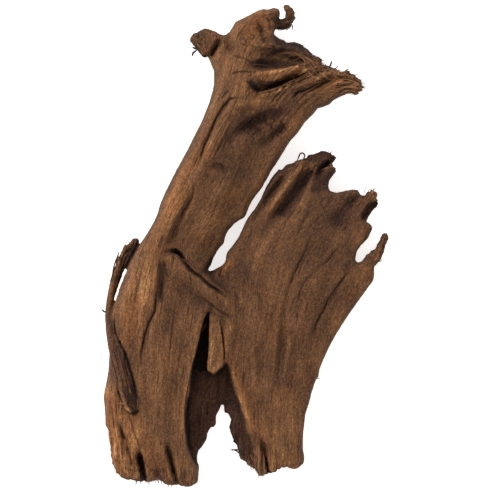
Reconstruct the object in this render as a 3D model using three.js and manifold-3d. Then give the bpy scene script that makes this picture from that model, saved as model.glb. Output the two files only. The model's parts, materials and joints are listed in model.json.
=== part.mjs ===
// A weathered piece of driftwood, lying flat: a root stock that runs from a flared crown down to a thick
// left leg, with a broad torn plate of wood fanning out on its right. It grew as one piece, so it is one
// solid. The shape is drawn as seen from above. Each limb has an outline on a drawing sheet and a few
// stations that give the heights of its underside and top. A scalar field joins the limbs, the field's
// zero surface is meshed, and the mesh is thinned out where it is smooth. Millimetres, +Z up, standing on
// Z = 0, the legs towards -Y.

import * as THREE from "three";
import { mergeVertices } from "three/addons/utils/BufferGeometryUtils.js";
import Module from "manifold-3d";

// Driving dimensions.
const LENGTH = 360; // the crown's tip to the end of the left leg
const CELL = 1.5; // spacing of the grid that the field is sampled on
const TRIANGLES = 9600; // faces left once the mesh is thinned out
const UNDERSIDE_WEIGHT = 0.3; // how much a face that looks down counts when the mesh is thinned out
const SLIVER_COST = 0.002; // keeps long thin faces from forming on the flats
const MOST_TURN = 0.5; // cosine of the largest turn of a face in one step
const MOST_LEAN = 0.4; // or cosine of the largest lean from the way the skin faces there
const LEAST_SIZE = 0.02; // square millimetres, twice the area of the smallest face
const NARROWEST = 0.06; // least height of a face over its longest side

// The drawing sheet: squares counted to the right and down. One square is SQUARE millimetres.
const SHEET_LENGTH = 482;
const SHEET_MIDDLE = { x: 246.2, y: 246 };
const SQUARE = LENGTH / SHEET_LENGTH;
const place = ([x, y]) => new THREE.Vector2((x - SHEET_MIDDLE.x) * SQUARE, (SHEET_MIDDLE.y - y) * SQUARE);

// Outlines, in sheet squares, clockwise as drawn. A smooth curve runs through the points.

// The crown, the trunk and the left leg, as far as the leg's inner rim.
const STOCK_OUTLINE = [
  // left knob, saddle and central lobe
  [190, 40], [191, 36.5], [194, 33.5], [199, 31], [203, 29], [207, 28], [211, 29.5], [216, 31],
  [220, 33.5], [224, 35], [227, 34], [230, 31.5], [232, 28], [234, 25], [236, 22], [240, 20], [245, 17.5],
  [250, 15], [255, 12], [260, 10], [264, 9], [268, 9.5], [272, 8], [277, 8.5], [280, 12], [280, 16],
  [277, 21], [277, 27], [274, 31],
  // ragged upper right edge of the crown
  [274, 34], [277, 37], [281, 39], [285, 40], [286, 42.5], [290, 42], [294, 41.5], [300, 43], [304, 46],
  [308, 48.5], [313, 53], [317, 57], [321, 58], [324, 61], [320, 62.5], [323, 65], [330, 67], [336, 68.5],
  [340, 71.5], [345, 71], [349, 70], [351, 72.5], [354, 73.5], [358, 77], [361, 81],
  // torn tip, and back along the crown's lower edge
  [363, 85], [362, 89], [359, 92], [355, 94], [352, 92.5], [345, 94], [338, 97], [333, 100], [329, 104],
  [324, 106], [318, 108], [315, 111], [312, 115], [309, 118], [306, 120.5], [303, 125],
  // right edge of the trunk, down to the fork
  [300, 130], [295, 135], [290, 141], [286, 148], [281, 156], [276, 164], [271, 171], [268, 177],
  [264, 184], [261, 189], [256, 195], [251, 203], [247, 212], [244.5, 217.5], [240, 219.5], [236, 222],
  [231, 227], [227, 232], [225, 238], [224, 243], [220, 247], [216, 253], [213, 259], [211, 265],
  [208, 269.5], [214, 285], [218, 300],
  // inner rim of the left leg
  [211, 311], [206, 318], [203, 328], [200, 338], [197, 350], [194, 360], [191, 371], [189, 385],
  [187, 395], [185.5, 405], [185, 415], [185.5, 425], [186.5, 435], [188, 445], [190.5, 455], [194, 463],
  [198, 469],
  // end of the left leg
  [198.5, 475], [198.5, 479], [197, 483], [193, 485.5], [188, 487], [182, 486], [175, 485], [168, 484.5],
  [163, 482.5], [160, 479.5], [154, 481], [147, 482], [140, 481.5], [134, 480], [128, 480], [123, 478.5],
  [119, 476], [116, 473], [114, 466],
  // left edge, upwards
  [112, 459], [111, 452], [110, 444], [109, 436], [108, 429], [105.5, 425], [105.5, 418], [105, 410],
  [104.5, 403], [104, 396], [105, 389], [106.5, 382], [108, 375], [109, 368], [109.5, 360], [110, 352],
  [111, 345], [111, 335], [111, 325], [112, 315], [114.5, 305], [118, 295], [122, 284], [126.5, 272],
  [130.5, 262], [135, 253], [140, 245], [145, 237], [150, 229], [155, 220], [158, 213], [160, 206],
  [163, 198], [167, 189], [171, 181], [176, 171], [181, 162], [186, 153], [191, 143], [196, 133],
  [200, 125], [203, 119], [206, 111], [209, 104], [211, 97], [213, 90], [214, 83], [214, 77], [214, 71],
  [212, 66], [210, 61], [207.5, 56], [204, 57.5], [201, 55], [198, 51], [195, 47], [192, 43.5],
];

// The plate: a fan of torn teeth above, the right leg below.
const PLATE_OUTLINE = [
  // left edge, from the fork up along the slot beside the trunk
  [190, 300], [196, 283], [208, 271.5], [213, 270], [218, 267], [222, 265], [225, 262], [226, 258],
  [227, 253], [230, 248], [235, 242], [239, 236], [242, 230], [244, 224.5], [247, 219], [251, 213],
  [255.5, 207.5], [259.5, 201], [262.5, 195], [265.5, 188], [269, 182], [271, 178],
  // torn top edge of the first tooth
  [275, 173], [279, 169], [280, 167], [281.5, 169.5], [285, 166], [289, 163], [293, 163.5], [297, 160.5],
  [302, 158.5], [306, 157.5], [308, 155], [311, 154], [315, 153.5], [319, 151.5], [325, 150],
  [328, 151.5], [331, 154], [336, 156], [333, 160], [331.5, 164], [335, 167], [336, 170], [334, 174],
  [331, 178], [329, 181],
  // shoulder, second and third tooth
  [328.5, 186], [330, 190], [333, 191.5], [338, 192], [344, 191], [349, 189.5], [355, 189], [359, 190.5],
  [361, 193], [363.5, 196], [366, 194.5], [369, 191], [373, 190], [376, 191], [376.5, 195], [377, 200],
  [379, 203], [377, 206], [373, 210], [370, 215], [367, 219], [366, 222], [369, 222], [372, 225],
  [373, 228], [371, 232], [368, 238], [364, 242], [360, 247],
  // the notch and the spur
  [357, 252], [356, 258], [357.5, 262.5], [361, 261.5], [364, 259], [367, 255], [371, 251], [376, 246],
  [379, 241], [381, 236], [384, 232.5], [387, 232], [389, 235], [389.5, 238], [387, 243], [385, 248],
  [384, 253], [382, 258], [378, 262.5], [375, 266], [375, 271], [375, 276], [374, 280],
  // long right edge
  [369, 287], [364, 294], [359, 301], [354, 308], [349, 315], [344, 323], [339, 331], [334, 339],
  [330, 347], [326, 355], [323, 362], [320, 370], [319, 377], [316, 381], [313, 390], [311, 398],
  [309, 405], [306, 414], [305, 422], [304, 430], [303.5, 440], [303.5, 450],
  // torn end of the right leg, and up its inner rim
  [305, 457], [304, 464], [301, 467], [296, 470], [291, 468.5], [285, 467.5], [280, 469], [276, 471.5],
  [271, 474], [266, 475], [261, 477], [258, 474], [256, 468], [255, 458], [253, 449], [250.5, 440],
  [248, 431], [246, 422], [243, 414], [240, 405], [238, 398], [236, 391], [233, 382], [230.5, 373],
  [228, 364.5], [225.5, 361], [225, 345], [223, 328], [221, 318], [205, 312],
];

// The flank that slopes down from the left leg's inner rim to the notch between the legs.
const LEFT_FLANK_OUTLINE = [
  [197, 322], [205, 302], [222, 300], [230, 318], [230, 345], [228, 365], [226, 385], [223.5, 402],
  [221, 406], [219, 411], [216, 417], [216, 424], [214, 428], [210, 428.5], [209, 431], [207, 437],
  [206, 443], [204.5, 441], [203, 446], [199, 450], [197.5, 455], [197, 461], [199, 466], [199, 472],
  [190, 474], [180, 450], [178, 420], [180, 390], [186, 360],
];

// The flank under the right leg's inner rim.
const RIGHT_FLANK_OUTLINE = [
  [218, 365], [228, 355], [240, 370], [252, 400], [258, 430], [266, 460], [262, 474], [257, 471],
  [252, 467.5], [248, 464.5], [243, 461], [240, 459], [238.5, 454], [237, 448], [234, 442], [231, 434],
  [229.5, 429], [230, 424], [231, 420], [230, 417], [228, 413.5], [225, 414], [224, 409], [223.5, 403],
  [220, 392],
];

// The splinter that hangs from the cross ridge over the hollow between the legs.
const SPLINTER_OUTLINE = [
  [209.5, 306], [209.8, 318], [209.4, 332], [208.8, 345], [208, 358], [207, 369], [210, 371.5],
  [214, 374.5], [218.5, 370], [225, 364], [226, 352], [225.5, 340], [224.5, 328], [222, 316], [220, 306],
];

// Stations: sheet x, sheet y, then in millimetres the underside's height, the top's height and the edge's
// rounding.
const STOCK_STATIONS = [
  // crown
  [200, 42, 8, 27, 9], [211, 48, 8, 29, 9], [224, 50, 7, 35, 8], [240, 32, 10, 41, 8],
  [262, 20, 13, 37, 7], [272, 14, 15, 31, 5], [268, 36, 8, 38, 4], [250, 45, 7, 45, 8],
  [243, 72, 6, 46, 12], [220, 78, 7, 40, 14], [285, 48, 6, 22, 4], [310, 56, 6, 20, 4],
  [280, 60, 6, 38, 6], [308, 72, 6, 35, 6], [330, 78, 6, 27, 5], [356, 84, 7, 19, 4], [320, 98, 5, 24, 6],
  [290, 100, 5, 36, 8], [302, 118, 4, 24, 7], [240, 100, 5, 48, 12],
  // trunk: a high round crest on the left that falls away to a thin right edge
  [215, 110, 5, 47, 15], [262, 124, 5, 35, 8], [288, 134, 4, 27, 7], [203, 145, 5, 49, 17],
  [232, 148, 5, 41, 10], [270, 156, 4, 29, 7], [186, 180, 5, 48, 17], [214, 182, 5, 42, 10],
  [252, 188, 5, 27, 6], [170, 210, 4, 47, 16], [198, 218, 4, 39, 10], [236, 214, 5, 25, 5],
  [156, 238, 4, 47, 15], [184, 242, 4, 38, 10], [215, 246, 5, 22, 5],
  // left leg
  [142, 272, 5, 48, 14], [168, 275, 5, 45, 10], [196, 285, 5, 33, 6], [132, 300, 6, 46, 12],
  [160, 305, 6, 49, 10], [190, 312, 6, 39, 4], [205, 300, 6, 33, 4], [130, 335, 6, 45, 13],
  [160, 345, 6, 49, 10], [190, 348, 6, 38, 4], [122, 375, 4, 43, 14], [152, 385, 5, 48, 10],
  [182, 390, 6, 37, 4], [118, 415, 2, 38, 14], [148, 425, 3, 45, 10], [178, 430, 4, 35, 4],
  [122, 450, 0, 33, 12], [150, 460, 1, 38, 9], [180, 462, 1, 32, 6], [126, 474, -1, 24, 8],
  [158, 480, -1, 26, 8], [190, 480, -1, 25, 8],
];
const PLATE_STATIONS = [
  [214, 276, 6, 22, 4], [236, 256, 6, 23, 5], [262, 212, 7, 22, 4], [284, 180, 8, 25, 3],
  [318, 160, 10, 25, 3], [300, 190, 8, 24, 4], [345, 200, 7, 23, 3], [370, 198, 8, 21, 3],
  [368, 228, 7, 17, 3], [386, 237, 6, 13, 4], [370, 260, 5, 16, 4], [300, 232, 7, 28, 4],
  [335, 240, 6, 24, 4], [350, 275, 4, 20, 4], [366, 284, 3, 13, 4], [270, 270, 6, 31, 5],
  [310, 285, 5, 27, 4], [345, 308, 2, 14, 4], [250, 310, 6, 33, 6], [295, 320, 5, 26, 4],
  [325, 340, 1, 14, 4], [230, 322, 7, 30, 3], [240, 350, 6, 29, 3], [285, 365, 4, 22, 4],
  [312, 385, 1, 14, 4], [244, 385, 5, 25, 3], [275, 400, 4, 23, 4], [300, 415, 1, 15, 5],
  [254, 420, 4, 22, 3], [280, 440, 2, 21, 5], [298, 448, -1, 15, 5], [260, 462, 1, 16, 3],
  [292, 464, -1, 13, 4],
];
const LEFT_FLANK_STATIONS = [
  [190, 400, 3, 20, 4], [192, 440, 3, 17, 4], [210, 380, 2, 12, 3], [212, 415, 1, 9, 2.5],
  [203, 435, 1, 9, 2.5], [208, 310, 4, 14, 3], [222, 322, 4, 13, 3], [202, 350, 2, 10, 3],
  [220, 360, 2, 9, 3], [196, 462, 1, 14, 3],
];
const RIGHT_FLANK_STATIONS = [
  [228, 372, 2, 11, 3], [226, 400, 1, 8, 2.5], [240, 400, 2, 12, 3], [233, 430, 1, 8, 2.5],
  [248, 430, 2, 14, 3], [244, 456, 1, 9, 2.5], [258, 460, 1, 12, 3],
];
const SPLINTER_STATIONS = [
  [215, 308, 19, 32, 3], [216, 330, 19, 31, 2.5], [215, 350, 19, 29, 2.5], [214, 372, 19, 26, 2],
];

// Round limbs: sheet x, sheet y, then in millimetres the height of the middle, half the width and half
// the height.
const CROSS_RIDGE = [
  [171, 258, 40, 5, 6], [180, 266, 39, 6.5, 8], [192, 277, 35, 7.5, 9], [205, 288, 32, 8, 9],
  [219, 299, 29, 8, 9], [232, 309, 26, 7.5, 9], [244, 320, 23, 7, 8], [257, 335, 19, 6, 7],
];
const RIDGE_FLOOR = 8; // height down to which the cross ridge is rooted in the wood
const SIDE_ROOT = [
  [136.5, 241.5, 22, 2.6, 4], [130, 249, 23, 4.4, 6], [123.5, 260, 22, 4.4, 6], [117.5, 274, 20, 3.6, 5],
  [113, 288, 19, 3, 5], [110, 302, 21, 2.7, 4.5], [109.2, 316, 25, 2.7, 4.5], [110.8, 330, 30, 3.2, 5],
  [114.5, 344, 36, 4.2, 5], [118.5, 357, 40, 4.8, 5], [122.5, 370, 43, 5, 5], [126.5, 384, 44, 5.2, 5],
  [131, 398, 43, 5.2, 5], [132.5, 404, 42, 4.8, 4.5],
];
const CURL = [
  [275, 24, 22, 3.8, 6], [281, 25, 21, 3.9, 5.5], [286.5, 23.5, 21, 3.8, 5], [290, 18, 22, 4, 4.5],
  [289.8, 13, 24, 3.7, 4], [287.4, 9, 25, 2.8, 3], [285.2, 6.2, 26, 1.6, 2.2],
];

// Hollows (depth above 0) and ribs (below 0) of the top: sheet points, half width and depth in
// millimetres. Each one runs out softly at both ends.
const TOP_RELIEF = [
  // crown: the long crevice, the rib beside it, the hollows and the folds
  {
    path: [[246, 87], [258, 90.5], [270, 88], [283, 83], [297, 77], [312, 70]],
    halfWidth: 4.4,
    depth: 10,
  },
  {
    path: [[252, 97], [266, 95], [280, 89.5], [295, 82.5], [311, 75], [327, 68]],
    halfWidth: 2.8,
    depth: -4,
  },
  { path: [[290, 97], [302, 92], [314, 86], [326, 79], [338, 74]], halfWidth: 3, depth: 5.5 },
  { path: [[244, 69], [256, 67], [269, 65], [283, 63.5], [298, 66]], halfWidth: 6, depth: 6 },
  { path: [[246, 80], [260, 76], [274, 73], [290, 71], [310, 66]], halfWidth: 4, depth: -4 },
  { path: [[250, 48], [264, 47], [280, 48], [296, 51], [310, 60]], halfWidth: 3.6, depth: -5 },
  { path: [[258, 57], [274, 56], [292, 59], [312, 68]], halfWidth: 3, depth: 5 },
  { path: [[268, 47], [265, 39], [261, 31], [257, 24]], halfWidth: 3, depth: 4 },
  { path: [[223, 38], [218, 45], [213.5, 52], [209, 60]], halfWidth: 3.4, depth: 8 },
  { path: [[226, 32], [228, 40], [230, 48], [233, 57]], halfWidth: 4.5, depth: 5 },
  { path: [[300, 89], [314, 81], [328, 74], [342, 71]], halfWidth: 3, depth: -3 },
  { path: [[332, 76], [345, 78.5], [358, 83], [366, 87]], halfWidth: 2.6, depth: 3.5 },
  { path: [[330, 90], [342, 88], [354, 90], [364, 92]], halfWidth: 2.6, depth: 3 },
  { path: [[230, 134], [244, 127], [258, 120], [272, 115], [288, 111]], halfWidth: 8, depth: 6 },
  { path: [[254, 150], [267, 141], [279, 130], [290, 118]], halfWidth: 4.5, depth: 4 },
  { path: [[226, 118], [240, 108], [256, 104], [274, 103]], halfWidth: 5, depth: -2.5 },
  // trunk: the long crack, the flutes beside the crest
  {
    path: [[242, 97], [231, 100], [222, 111], [214, 126], [207, 142], [200, 158], [194, 174], [188, 188]],
    halfWidth: 2.8,
    depth: 2.4,
  },
  {
    path: [[236, 112], [224, 132], [213, 152], [202, 174], [192, 196], [183, 214]],
    halfWidth: 5,
    depth: -2,
  },
  { path: [[200, 182], [190, 200], [181, 218], [174, 236], [168, 250]], halfWidth: 3.6, depth: 4 },
  { path: [[210, 170], [218, 166], [225, 170], [228, 177]], halfWidth: 3, depth: 2.5 },
  // knot and groove above the cross ridge
  {
    path: [
      [160, 256], [168, 252.5], [176, 252], [183, 259], [191, 267.5], [200, 275.5], [210, 284], [222, 292],
    ],
    halfWidth: 3.6,
    depth: 14,
  },
  { path: [[205, 281], [216, 290], [228, 299], [240, 309], [250, 319]], halfWidth: 3, depth: 7 },
  { path: [[192, 290], [203, 299], [214, 307], [226, 315], [238, 322]], halfWidth: 2.8, depth: 4 },
  // left leg
  { path: [[165, 248], [163, 264], [162, 280], [160, 296], [156, 310]], halfWidth: 4, depth: 4.5 },
  {
    path: [[159, 288], [156, 308], [150, 324], [146, 340], [143, 356], [142, 372]],
    halfWidth: 2.8,
    depth: 2.4,
  },
  { path: [[177, 292], [173, 325], [171, 360], [172, 395], [174, 425]], halfWidth: 8, depth: 2 },
  {
    path: [[137.5, 444], [140, 454], [142.5, 465], [144.5, 478], [146, 492], [148, 506]],
    halfWidth: 3.6,
    depth: 18,
  },
  { path: [[166, 438], [169, 450], [172.5, 463], [176, 477], [180, 493]], halfWidth: 2.8, depth: 9 },
  { path: [[118, 414], [123, 429], [128, 444], [132, 460]], halfWidth: 2.8, depth: 3 },
  { path: [[129, 405], [134, 408], [140, 412]], halfWidth: 5, depth: 5 },
  { path: [[117, 452], [122, 466], [127, 480], [132, 494]], halfWidth: 3, depth: 5 },
  { path: [[156, 460], [158, 474], [160, 488], [162, 502]], halfWidth: 3.4, depth: 5 },
  // plate: the flutes under the first tooth, the pocket, the long valley and the cracks
  {
    path: [[268, 230], [278, 214], [289, 199], [300, 185], [311, 173], [320, 163]],
    halfWidth: 7,
    depth: 6.5,
  },
  { path: [[247, 228], [257, 213], [267, 198], [278, 184], [289, 172]], halfWidth: 3.6, depth: 5.5 },
  { path: [[258, 230], [272, 208], [285, 188], [298, 167], [306, 154]], halfWidth: 3, depth: -3 },
  { path: [[314, 180], [322, 169], [330, 160], [337, 150]], halfWidth: 3.6, depth: 8 },
  { path: [[356, 224], [365, 213], [374, 203], [383, 193]], halfWidth: 3.2, depth: 5 },
  { path: [[330, 228], [341, 216], [352, 204], [361, 192]], halfWidth: 7, depth: 3 },
  {
    path: [[312, 240], [302, 258], [293, 276], [287, 296], [284, 316], [283, 336]],
    halfWidth: 2.8,
    depth: 1.6,
  },
  {
    path: [[346, 241], [330, 258], [315, 271], [305, 284], [299, 300], [296, 318]],
    halfWidth: 2.8,
    depth: 1.2,
  },
  {
    path: [[357, 262], [343, 280], [331, 297], [320, 314], [313, 333], [307, 354]],
    halfWidth: 2.8,
    depth: 2,
  },
  { path: [[287, 310], [284, 335], [281, 360], [278, 385], [276, 405]], halfWidth: 5.5, depth: 3 },
  { path: [[291, 330], [288, 350], [284, 372], [281, 390]], halfWidth: 2.8, depth: -2.5 },
  { path: [[261, 330], [260, 350], [262, 375], [264, 395]], halfWidth: 6, depth: 2.5 },
  { path: [[262, 436], [265, 452], [268, 468], [271, 484]], halfWidth: 2.8, depth: 8 },
];

// The underside was never sanded by the sea: long troughs that follow the wood.
const UNDER_RELIEF = [
  {
    path: [[262, 60], [240, 95], [222, 135], [204, 175], [186, 215], [172, 250]],
    halfWidth: 17,
    depth: 12,
  },
  { path: [[172, 250], [160, 290], [155, 335], [152, 380], [150, 425]], halfWidth: 19, depth: 15 },
  { path: [[300, 66], [282, 84], [266, 112]], halfWidth: 11, depth: 8 },
  { path: [[262, 300], [280, 262], [306, 226], [330, 204]], halfWidth: 15, depth: 6 },
  { path: [[262, 300], [268, 340], [274, 380], [278, 420]], halfWidth: 13, depth: 7 },
  { path: [[244, 140], [226, 172], [210, 205]], halfWidth: 3.5, depth: -5 },
  { path: [[136, 300], [132, 345], [130, 400]], halfWidth: 4, depth: -4 },
  { path: [[318, 300], [306, 335], [300, 372]], halfWidth: 4, depth: 3 },
];

// Worn pads where the underside comes down to the ground: sheet x, sheet y and radius in millimetres.
const PADS = [[140, 452, 15], [288, 448, 12], [345, 306, 10], [222, 64, 15], [303, 104, 11]];
const PAD_FLOOR = -1; // the field's lowest height in a pad; the ground cuts it off flat

// Round-cornered minimum of two fields: within blend millimetres of each other they melt together.
function meld(a, b, blend) {
  const h = Math.max(blend - Math.abs(a - b), 0) / blend;
  return Math.min(a, b) - (h * h * blend) / 4;
}

// A closed smooth curve through sheet points, as a list of points in millimetres.
function outlineOf(sheetPoints) {
  const points = sheetPoints.map(place).map((p) => new THREE.Vector3(p.x, p.y, 0));
  return new THREE.CatmullRomCurve3(points, true, "centripetal").getPoints(points.length * 3);
}

// Distance from (x, y) to an outline: above 0 inside it, below 0 outside.
function insideDistance(outline, x, y) {
  let nearest = Infinity;
  let inside = false;
  for (let i = 1; i < outline.length; i++) {
    const a = outline[i - 1];
    const b = outline[i];
    const ex = b.x - a.x;
    const ey = b.y - a.y;
    const t = THREE.MathUtils.clamp(((x - a.x) * ex + (y - a.y) * ey) / (ex * ex + ey * ey || 1), 0, 1);
    const dx = x - a.x - t * ex;
    const dy = y - a.y - t * ey;
    nearest = Math.min(nearest, dx * dx + dy * dy);
    if (a.y > y !== b.y > y && x < a.x + (ex * (y - a.y)) / ey) inside = !inside;
  }
  return inside ? Math.sqrt(nearest) : -Math.sqrt(nearest);
}

// Underside, top and edge rounding at (x, y), from the stations round it.
const STATION_SOFTNESS = 12; // millimetres: how soon a station's pull evens out close to it
function fromStations(stations, x, y) {
  const sum = [0, 0, 0];
  let total = 0;
  for (const s of stations) {
    const gap = (x - s.at.x) ** 2 + (y - s.at.y) ** 2 + STATION_SOFTNESS ** 2;
    const weight = 1 / (gap * gap);
    total += weight;
    s.values.forEach((value, i) => (sum[i] += weight * value));
  }
  return sum.map((value) => value / total);
}

const STROKE_FADE = 0.28; // share of a stroke's length in which it runs out

// How far a set of hollows and ribs lowers the surface at (x, y).
function reliefAt(strokes, x, y) {
  let lowered = 0;
  for (const { line, box, halfWidth, depth } of strokes) {
    if (!box.containsPoint(new THREE.Vector2(x, y))) continue;
    let nearest = Infinity;
    let along = 0; // 0 at one end of the stroke, 1 at the other
    for (let i = 1; i < line.length; i++) {
      const { share, gap } = toSegment(line[i - 1], line[i], x, y);
      if (gap >= nearest) continue;
      nearest = gap;
      along = (i - 1 + share) / (line.length - 1);
    }
    const t = Math.min(nearest / halfWidth, 1);
    const fade = THREE.MathUtils.smoothstep(Math.min(along, 1 - along), 0, STROKE_FADE);
    lowered += depth * fade * (1 - t * t) ** 2;
  }
  return lowered;
}

// The nearest point of a segment to (x, y): its share along the segment and the gap to it.
function toSegment(a, b, x, y) {
  const ex = b.x - a.x;
  const ey = b.y - a.y;
  const share = THREE.MathUtils.clamp(((x - a.x) * ex + (y - a.y) * ey) / (ex * ex + ey * ey), 0, 1);
  return { share, gap: Math.hypot(x - a.x - share * ex, y - a.y - share * ey) };
}

function strokesOf(list) {
  return list.map(({ path, halfWidth, depth }) => {
    const line = path.map(place);
    return { line, halfWidth, depth, box: new THREE.Box2().setFromPoints(line).expandByScalar(halfWidth) };
  });
}

// A limb with an outline: its section is an ellipse-like bulge that closes at the outline.
function flatLimb(outlinePoints, stationRows) {
  return {
    outline: outlineOf(outlinePoints),
    stations: stationRows.map(([x, y, ...values]) => ({ at: place([x, y]), values })),
  };
}

// How much of a pad there is at (x, y): 1 in a pad's middle, fading to 0 at its rim.
function padAt(pads, x, y) {
  const nearness = pads.map(({ at, radius }) => Math.min(Math.hypot(x - at.x, y - at.y) / radius, 1));
  return (1 - Math.min(...nearness) ** 2) ** 2;
}

// Half-thickness and middle of a flat limb over (x, y), and how close the edge is, from 0 inside to 1 on
// it.
function columnOf(limb, x, y, lowered, raised, pad) {
  const inside = insideDistance(limb.outline, x, y);
  const [under, top, rounding] = fromStations(limb.stations, x, y);
  const low = THREE.MathUtils.lerp(under + raised, PAD_FLOOR, pad);
  const high = Math.max(top - lowered, low + 2);
  return { half: (high - low) / 2, middle: (high + low) / 2, edge: Math.max(0, 1 - inside / rounding) };
}

function roundLimb(rows) {
  return rows.map(([x, y, middle, halfWidth, halfHeight]) =>
    Object.assign(place([x, y]), { middle, halfWidth, halfHeight }),
  );
}

// A round limb's nearest section to (x, y).
function sectionOf(limb, x, y) {
  let best = { gap: Infinity };
  for (let i = 1; i < limb.length; i++) {
    const { share, gap } = toSegment(limb[i - 1], limb[i], x, y);
    const mix = (key) => THREE.MathUtils.lerp(limb[i - 1][key], limb[i][key], share);
    const score = gap - mix("halfWidth");
    if (score < (best.score ?? Infinity)) {
      best = { score, gap };
      for (const key of ["middle", "halfWidth", "halfHeight"]) best[key] = mix(key);
    }
  }
  return best;
}

// The field: below 0 in the wood. The grid covers the whole piece with a margin.
const MARGIN = 4;
const WIDTH = 288 * SQUARE;
const HEIGHT = 56;
const GRID = {
  x: -WIDTH / 2 - MARGIN,
  y: -LENGTH / 2 - MARGIN,
  z: -MARGIN,
  nx: Math.ceil((WIDTH + 2 * MARGIN) / CELL) + 1,
  ny: Math.ceil((LENGTH + 2 * MARGIN) / CELL) + 1,
  nz: Math.ceil((HEIGHT + 2 * MARGIN) / CELL) + 1,
};

function sampleField() {
  const stock = flatLimb(STOCK_OUTLINE, STOCK_STATIONS);
  const plate = flatLimb(PLATE_OUTLINE, PLATE_STATIONS);
  const leftFlank = flatLimb(LEFT_FLANK_OUTLINE, LEFT_FLANK_STATIONS);
  const rightFlank = flatLimb(RIGHT_FLANK_OUTLINE, RIGHT_FLANK_STATIONS);
  const splinter = flatLimb(SPLINTER_OUTLINE, SPLINTER_STATIONS);
  const topStrokes = strokesOf(TOP_RELIEF);
  const underStrokes = strokesOf(UNDER_RELIEF);
  const pads = PADS.map(([x, y, radius]) => ({ at: place([x, y]), radius }));
  const roundLimbs = [
    { line: roundLimb(CROSS_RIDGE), blend: 7, floor: RIDGE_FLOOR },
    { line: roundLimb(SIDE_ROOT), blend: 1.5 },
    { line: roundLimb(CURL), blend: 2 },
  ];
  const { nx, ny, nz } = GRID;
  const values = new Float32Array(nx * ny * nz);
  for (let j = 0; j < ny; j++)
    for (let i = 0; i < nx; i++) {
      const x = GRID.x + i * CELL;
      const y = GRID.y + j * CELL;
      const lowered = reliefAt(topStrokes, x, y);
      const raised = reliefAt(underStrokes, x, y);
      const pad = padAt(pads, x, y);
      const flat = [
        { ...columnOf(stock, x, y, lowered, raised, pad), blend: 3 },
        { ...columnOf(plate, x, y, lowered, raised, pad), blend: 3 },
        { ...columnOf(leftFlank, x, y, 0, 0, 0), blend: 3 },
        { ...columnOf(rightFlank, x, y, 0, 0, 0), blend: 3 },
        { ...columnOf(splinter, x, y, 0, 0, 0), blend: 1 },
      ];
      const round = roundLimbs.map((limb) => ({ ...limb, ...sectionOf(limb.line, x, y) }));
      for (let k = 0; k < nz; k++) {
        const z = GRID.z + k * CELL;
        let value = Infinity;
        for (const { half, middle, edge, blend } of flat) {
          const own = (Math.hypot(edge, (z - middle) / half) - 1) * half;
          value = value === Infinity ? own : meld(value, own, blend);
        }
        for (const { gap, middle, halfWidth, halfHeight, blend, floor } of round) {
          const reach = floor && z < middle ? middle - floor : halfHeight;
          const own = (Math.hypot(gap / halfWidth, (z - middle) / reach) - 1) * halfWidth;
          value = meld(value, own, blend);
        }
        values[(k * ny + j) * nx + i] = value;
      }
    }
  return values;
}

// The field's zero surface, by marching through six tetrahedra in each grid cell: always one closed skin.
function zeroSurface(values) {
  const { nx, ny, nz } = GRID;
  const step = (corner) => (corner & 1) + ((corner >> 1) & 1) * nx + ((corner >> 2) & 1) * nx * ny;
  const tetrahedra = [[0, 1, 3, 7], [0, 1, 5, 7], [0, 2, 3, 7], [0, 2, 6, 7], [0, 4, 5, 7], [0, 4, 6, 7]];
  const seen = new Int32Array(nx * ny * nz * 8).fill(-1);
  const points = [];
  const faces = [];
  const at = (node) => [
    GRID.x + (node % nx) * CELL,
    GRID.y + (Math.floor(node / nx) % ny) * CELL,
    GRID.z + Math.floor(node / (nx * ny)) * CELL,
  ];
  // The crossing between two corners of one cell, made once for all the tetrahedra that share it.
  const crossing = (base, cornerA, cornerB) => {
    const [low, high] = cornerA < cornerB ? [cornerA, cornerB] : [cornerB, cornerA];
    const a = base + step(low);
    const b = base + step(high);
    const key = a * 8 + (high - low);
    if (seen[key] < 0) {
      const share = THREE.MathUtils.clamp(values[a] / (values[a] - values[b]), 0.08, 0.92);
      const pa = at(a);
      const pb = at(b);
      seen[key] = points.length / 3;
      points.push(...pa.map((v, axis) => v + share * (pb[axis] - v)));
    }
    return seen[key];
  };
  const addFace = (a, b, c, base, insideCorner) => {
    const p = (i) => new THREE.Vector3(points[3 * i], points[3 * i + 1], points[3 * i + 2]);
    const [pa, pb, pc] = [p(a), p(b), p(c)];
    const inwards = new THREE.Vector3(...at(base + step(insideCorner))).sub(pa);
    const normal = pb.sub(pa).cross(pc.sub(pa));
    if (normal.dot(inwards) > 0) faces.push(a, c, b);
    else faces.push(a, b, c);
  };
  for (let k = 0; k + 1 < nz; k++)
    for (let j = 0; j + 1 < ny; j++)
      for (let i = 0; i + 1 < nx; i++) {
        const base = (k * ny + j) * nx + i;
        let count = 0;
        for (let corner = 0; corner < 8; corner++) if (values[base + step(corner)] < 0) count++;
        if (count === 0 || count === 8) continue;
        for (const tetrahedron of tetrahedra) {
          const within = tetrahedron.filter((corner) => values[base + step(corner)] < 0);
          const without = tetrahedron.filter((corner) => values[base + step(corner)] >= 0);
          if (!within.length || !without.length) continue;
          if (within.length === 2) {
            const [a, b] = within;
            const [c, d] = without;
            const ring = [[a, c], [a, d], [b, d], [b, c]].map(([p, q]) => crossing(base, p, q));
            addFace(ring[0], ring[1], ring[2], base, a);
            addFace(ring[0], ring[2], ring[3], base, a);
          } else {
            const [alone, others] = within.length === 1 ? [within[0], without] : [without[0], within];
            const ring = others.map((other) => crossing(base, alone, other));
            addFace(...ring, base, within[0]);
          }
        }
      }
  return { points, faces };
}

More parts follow.
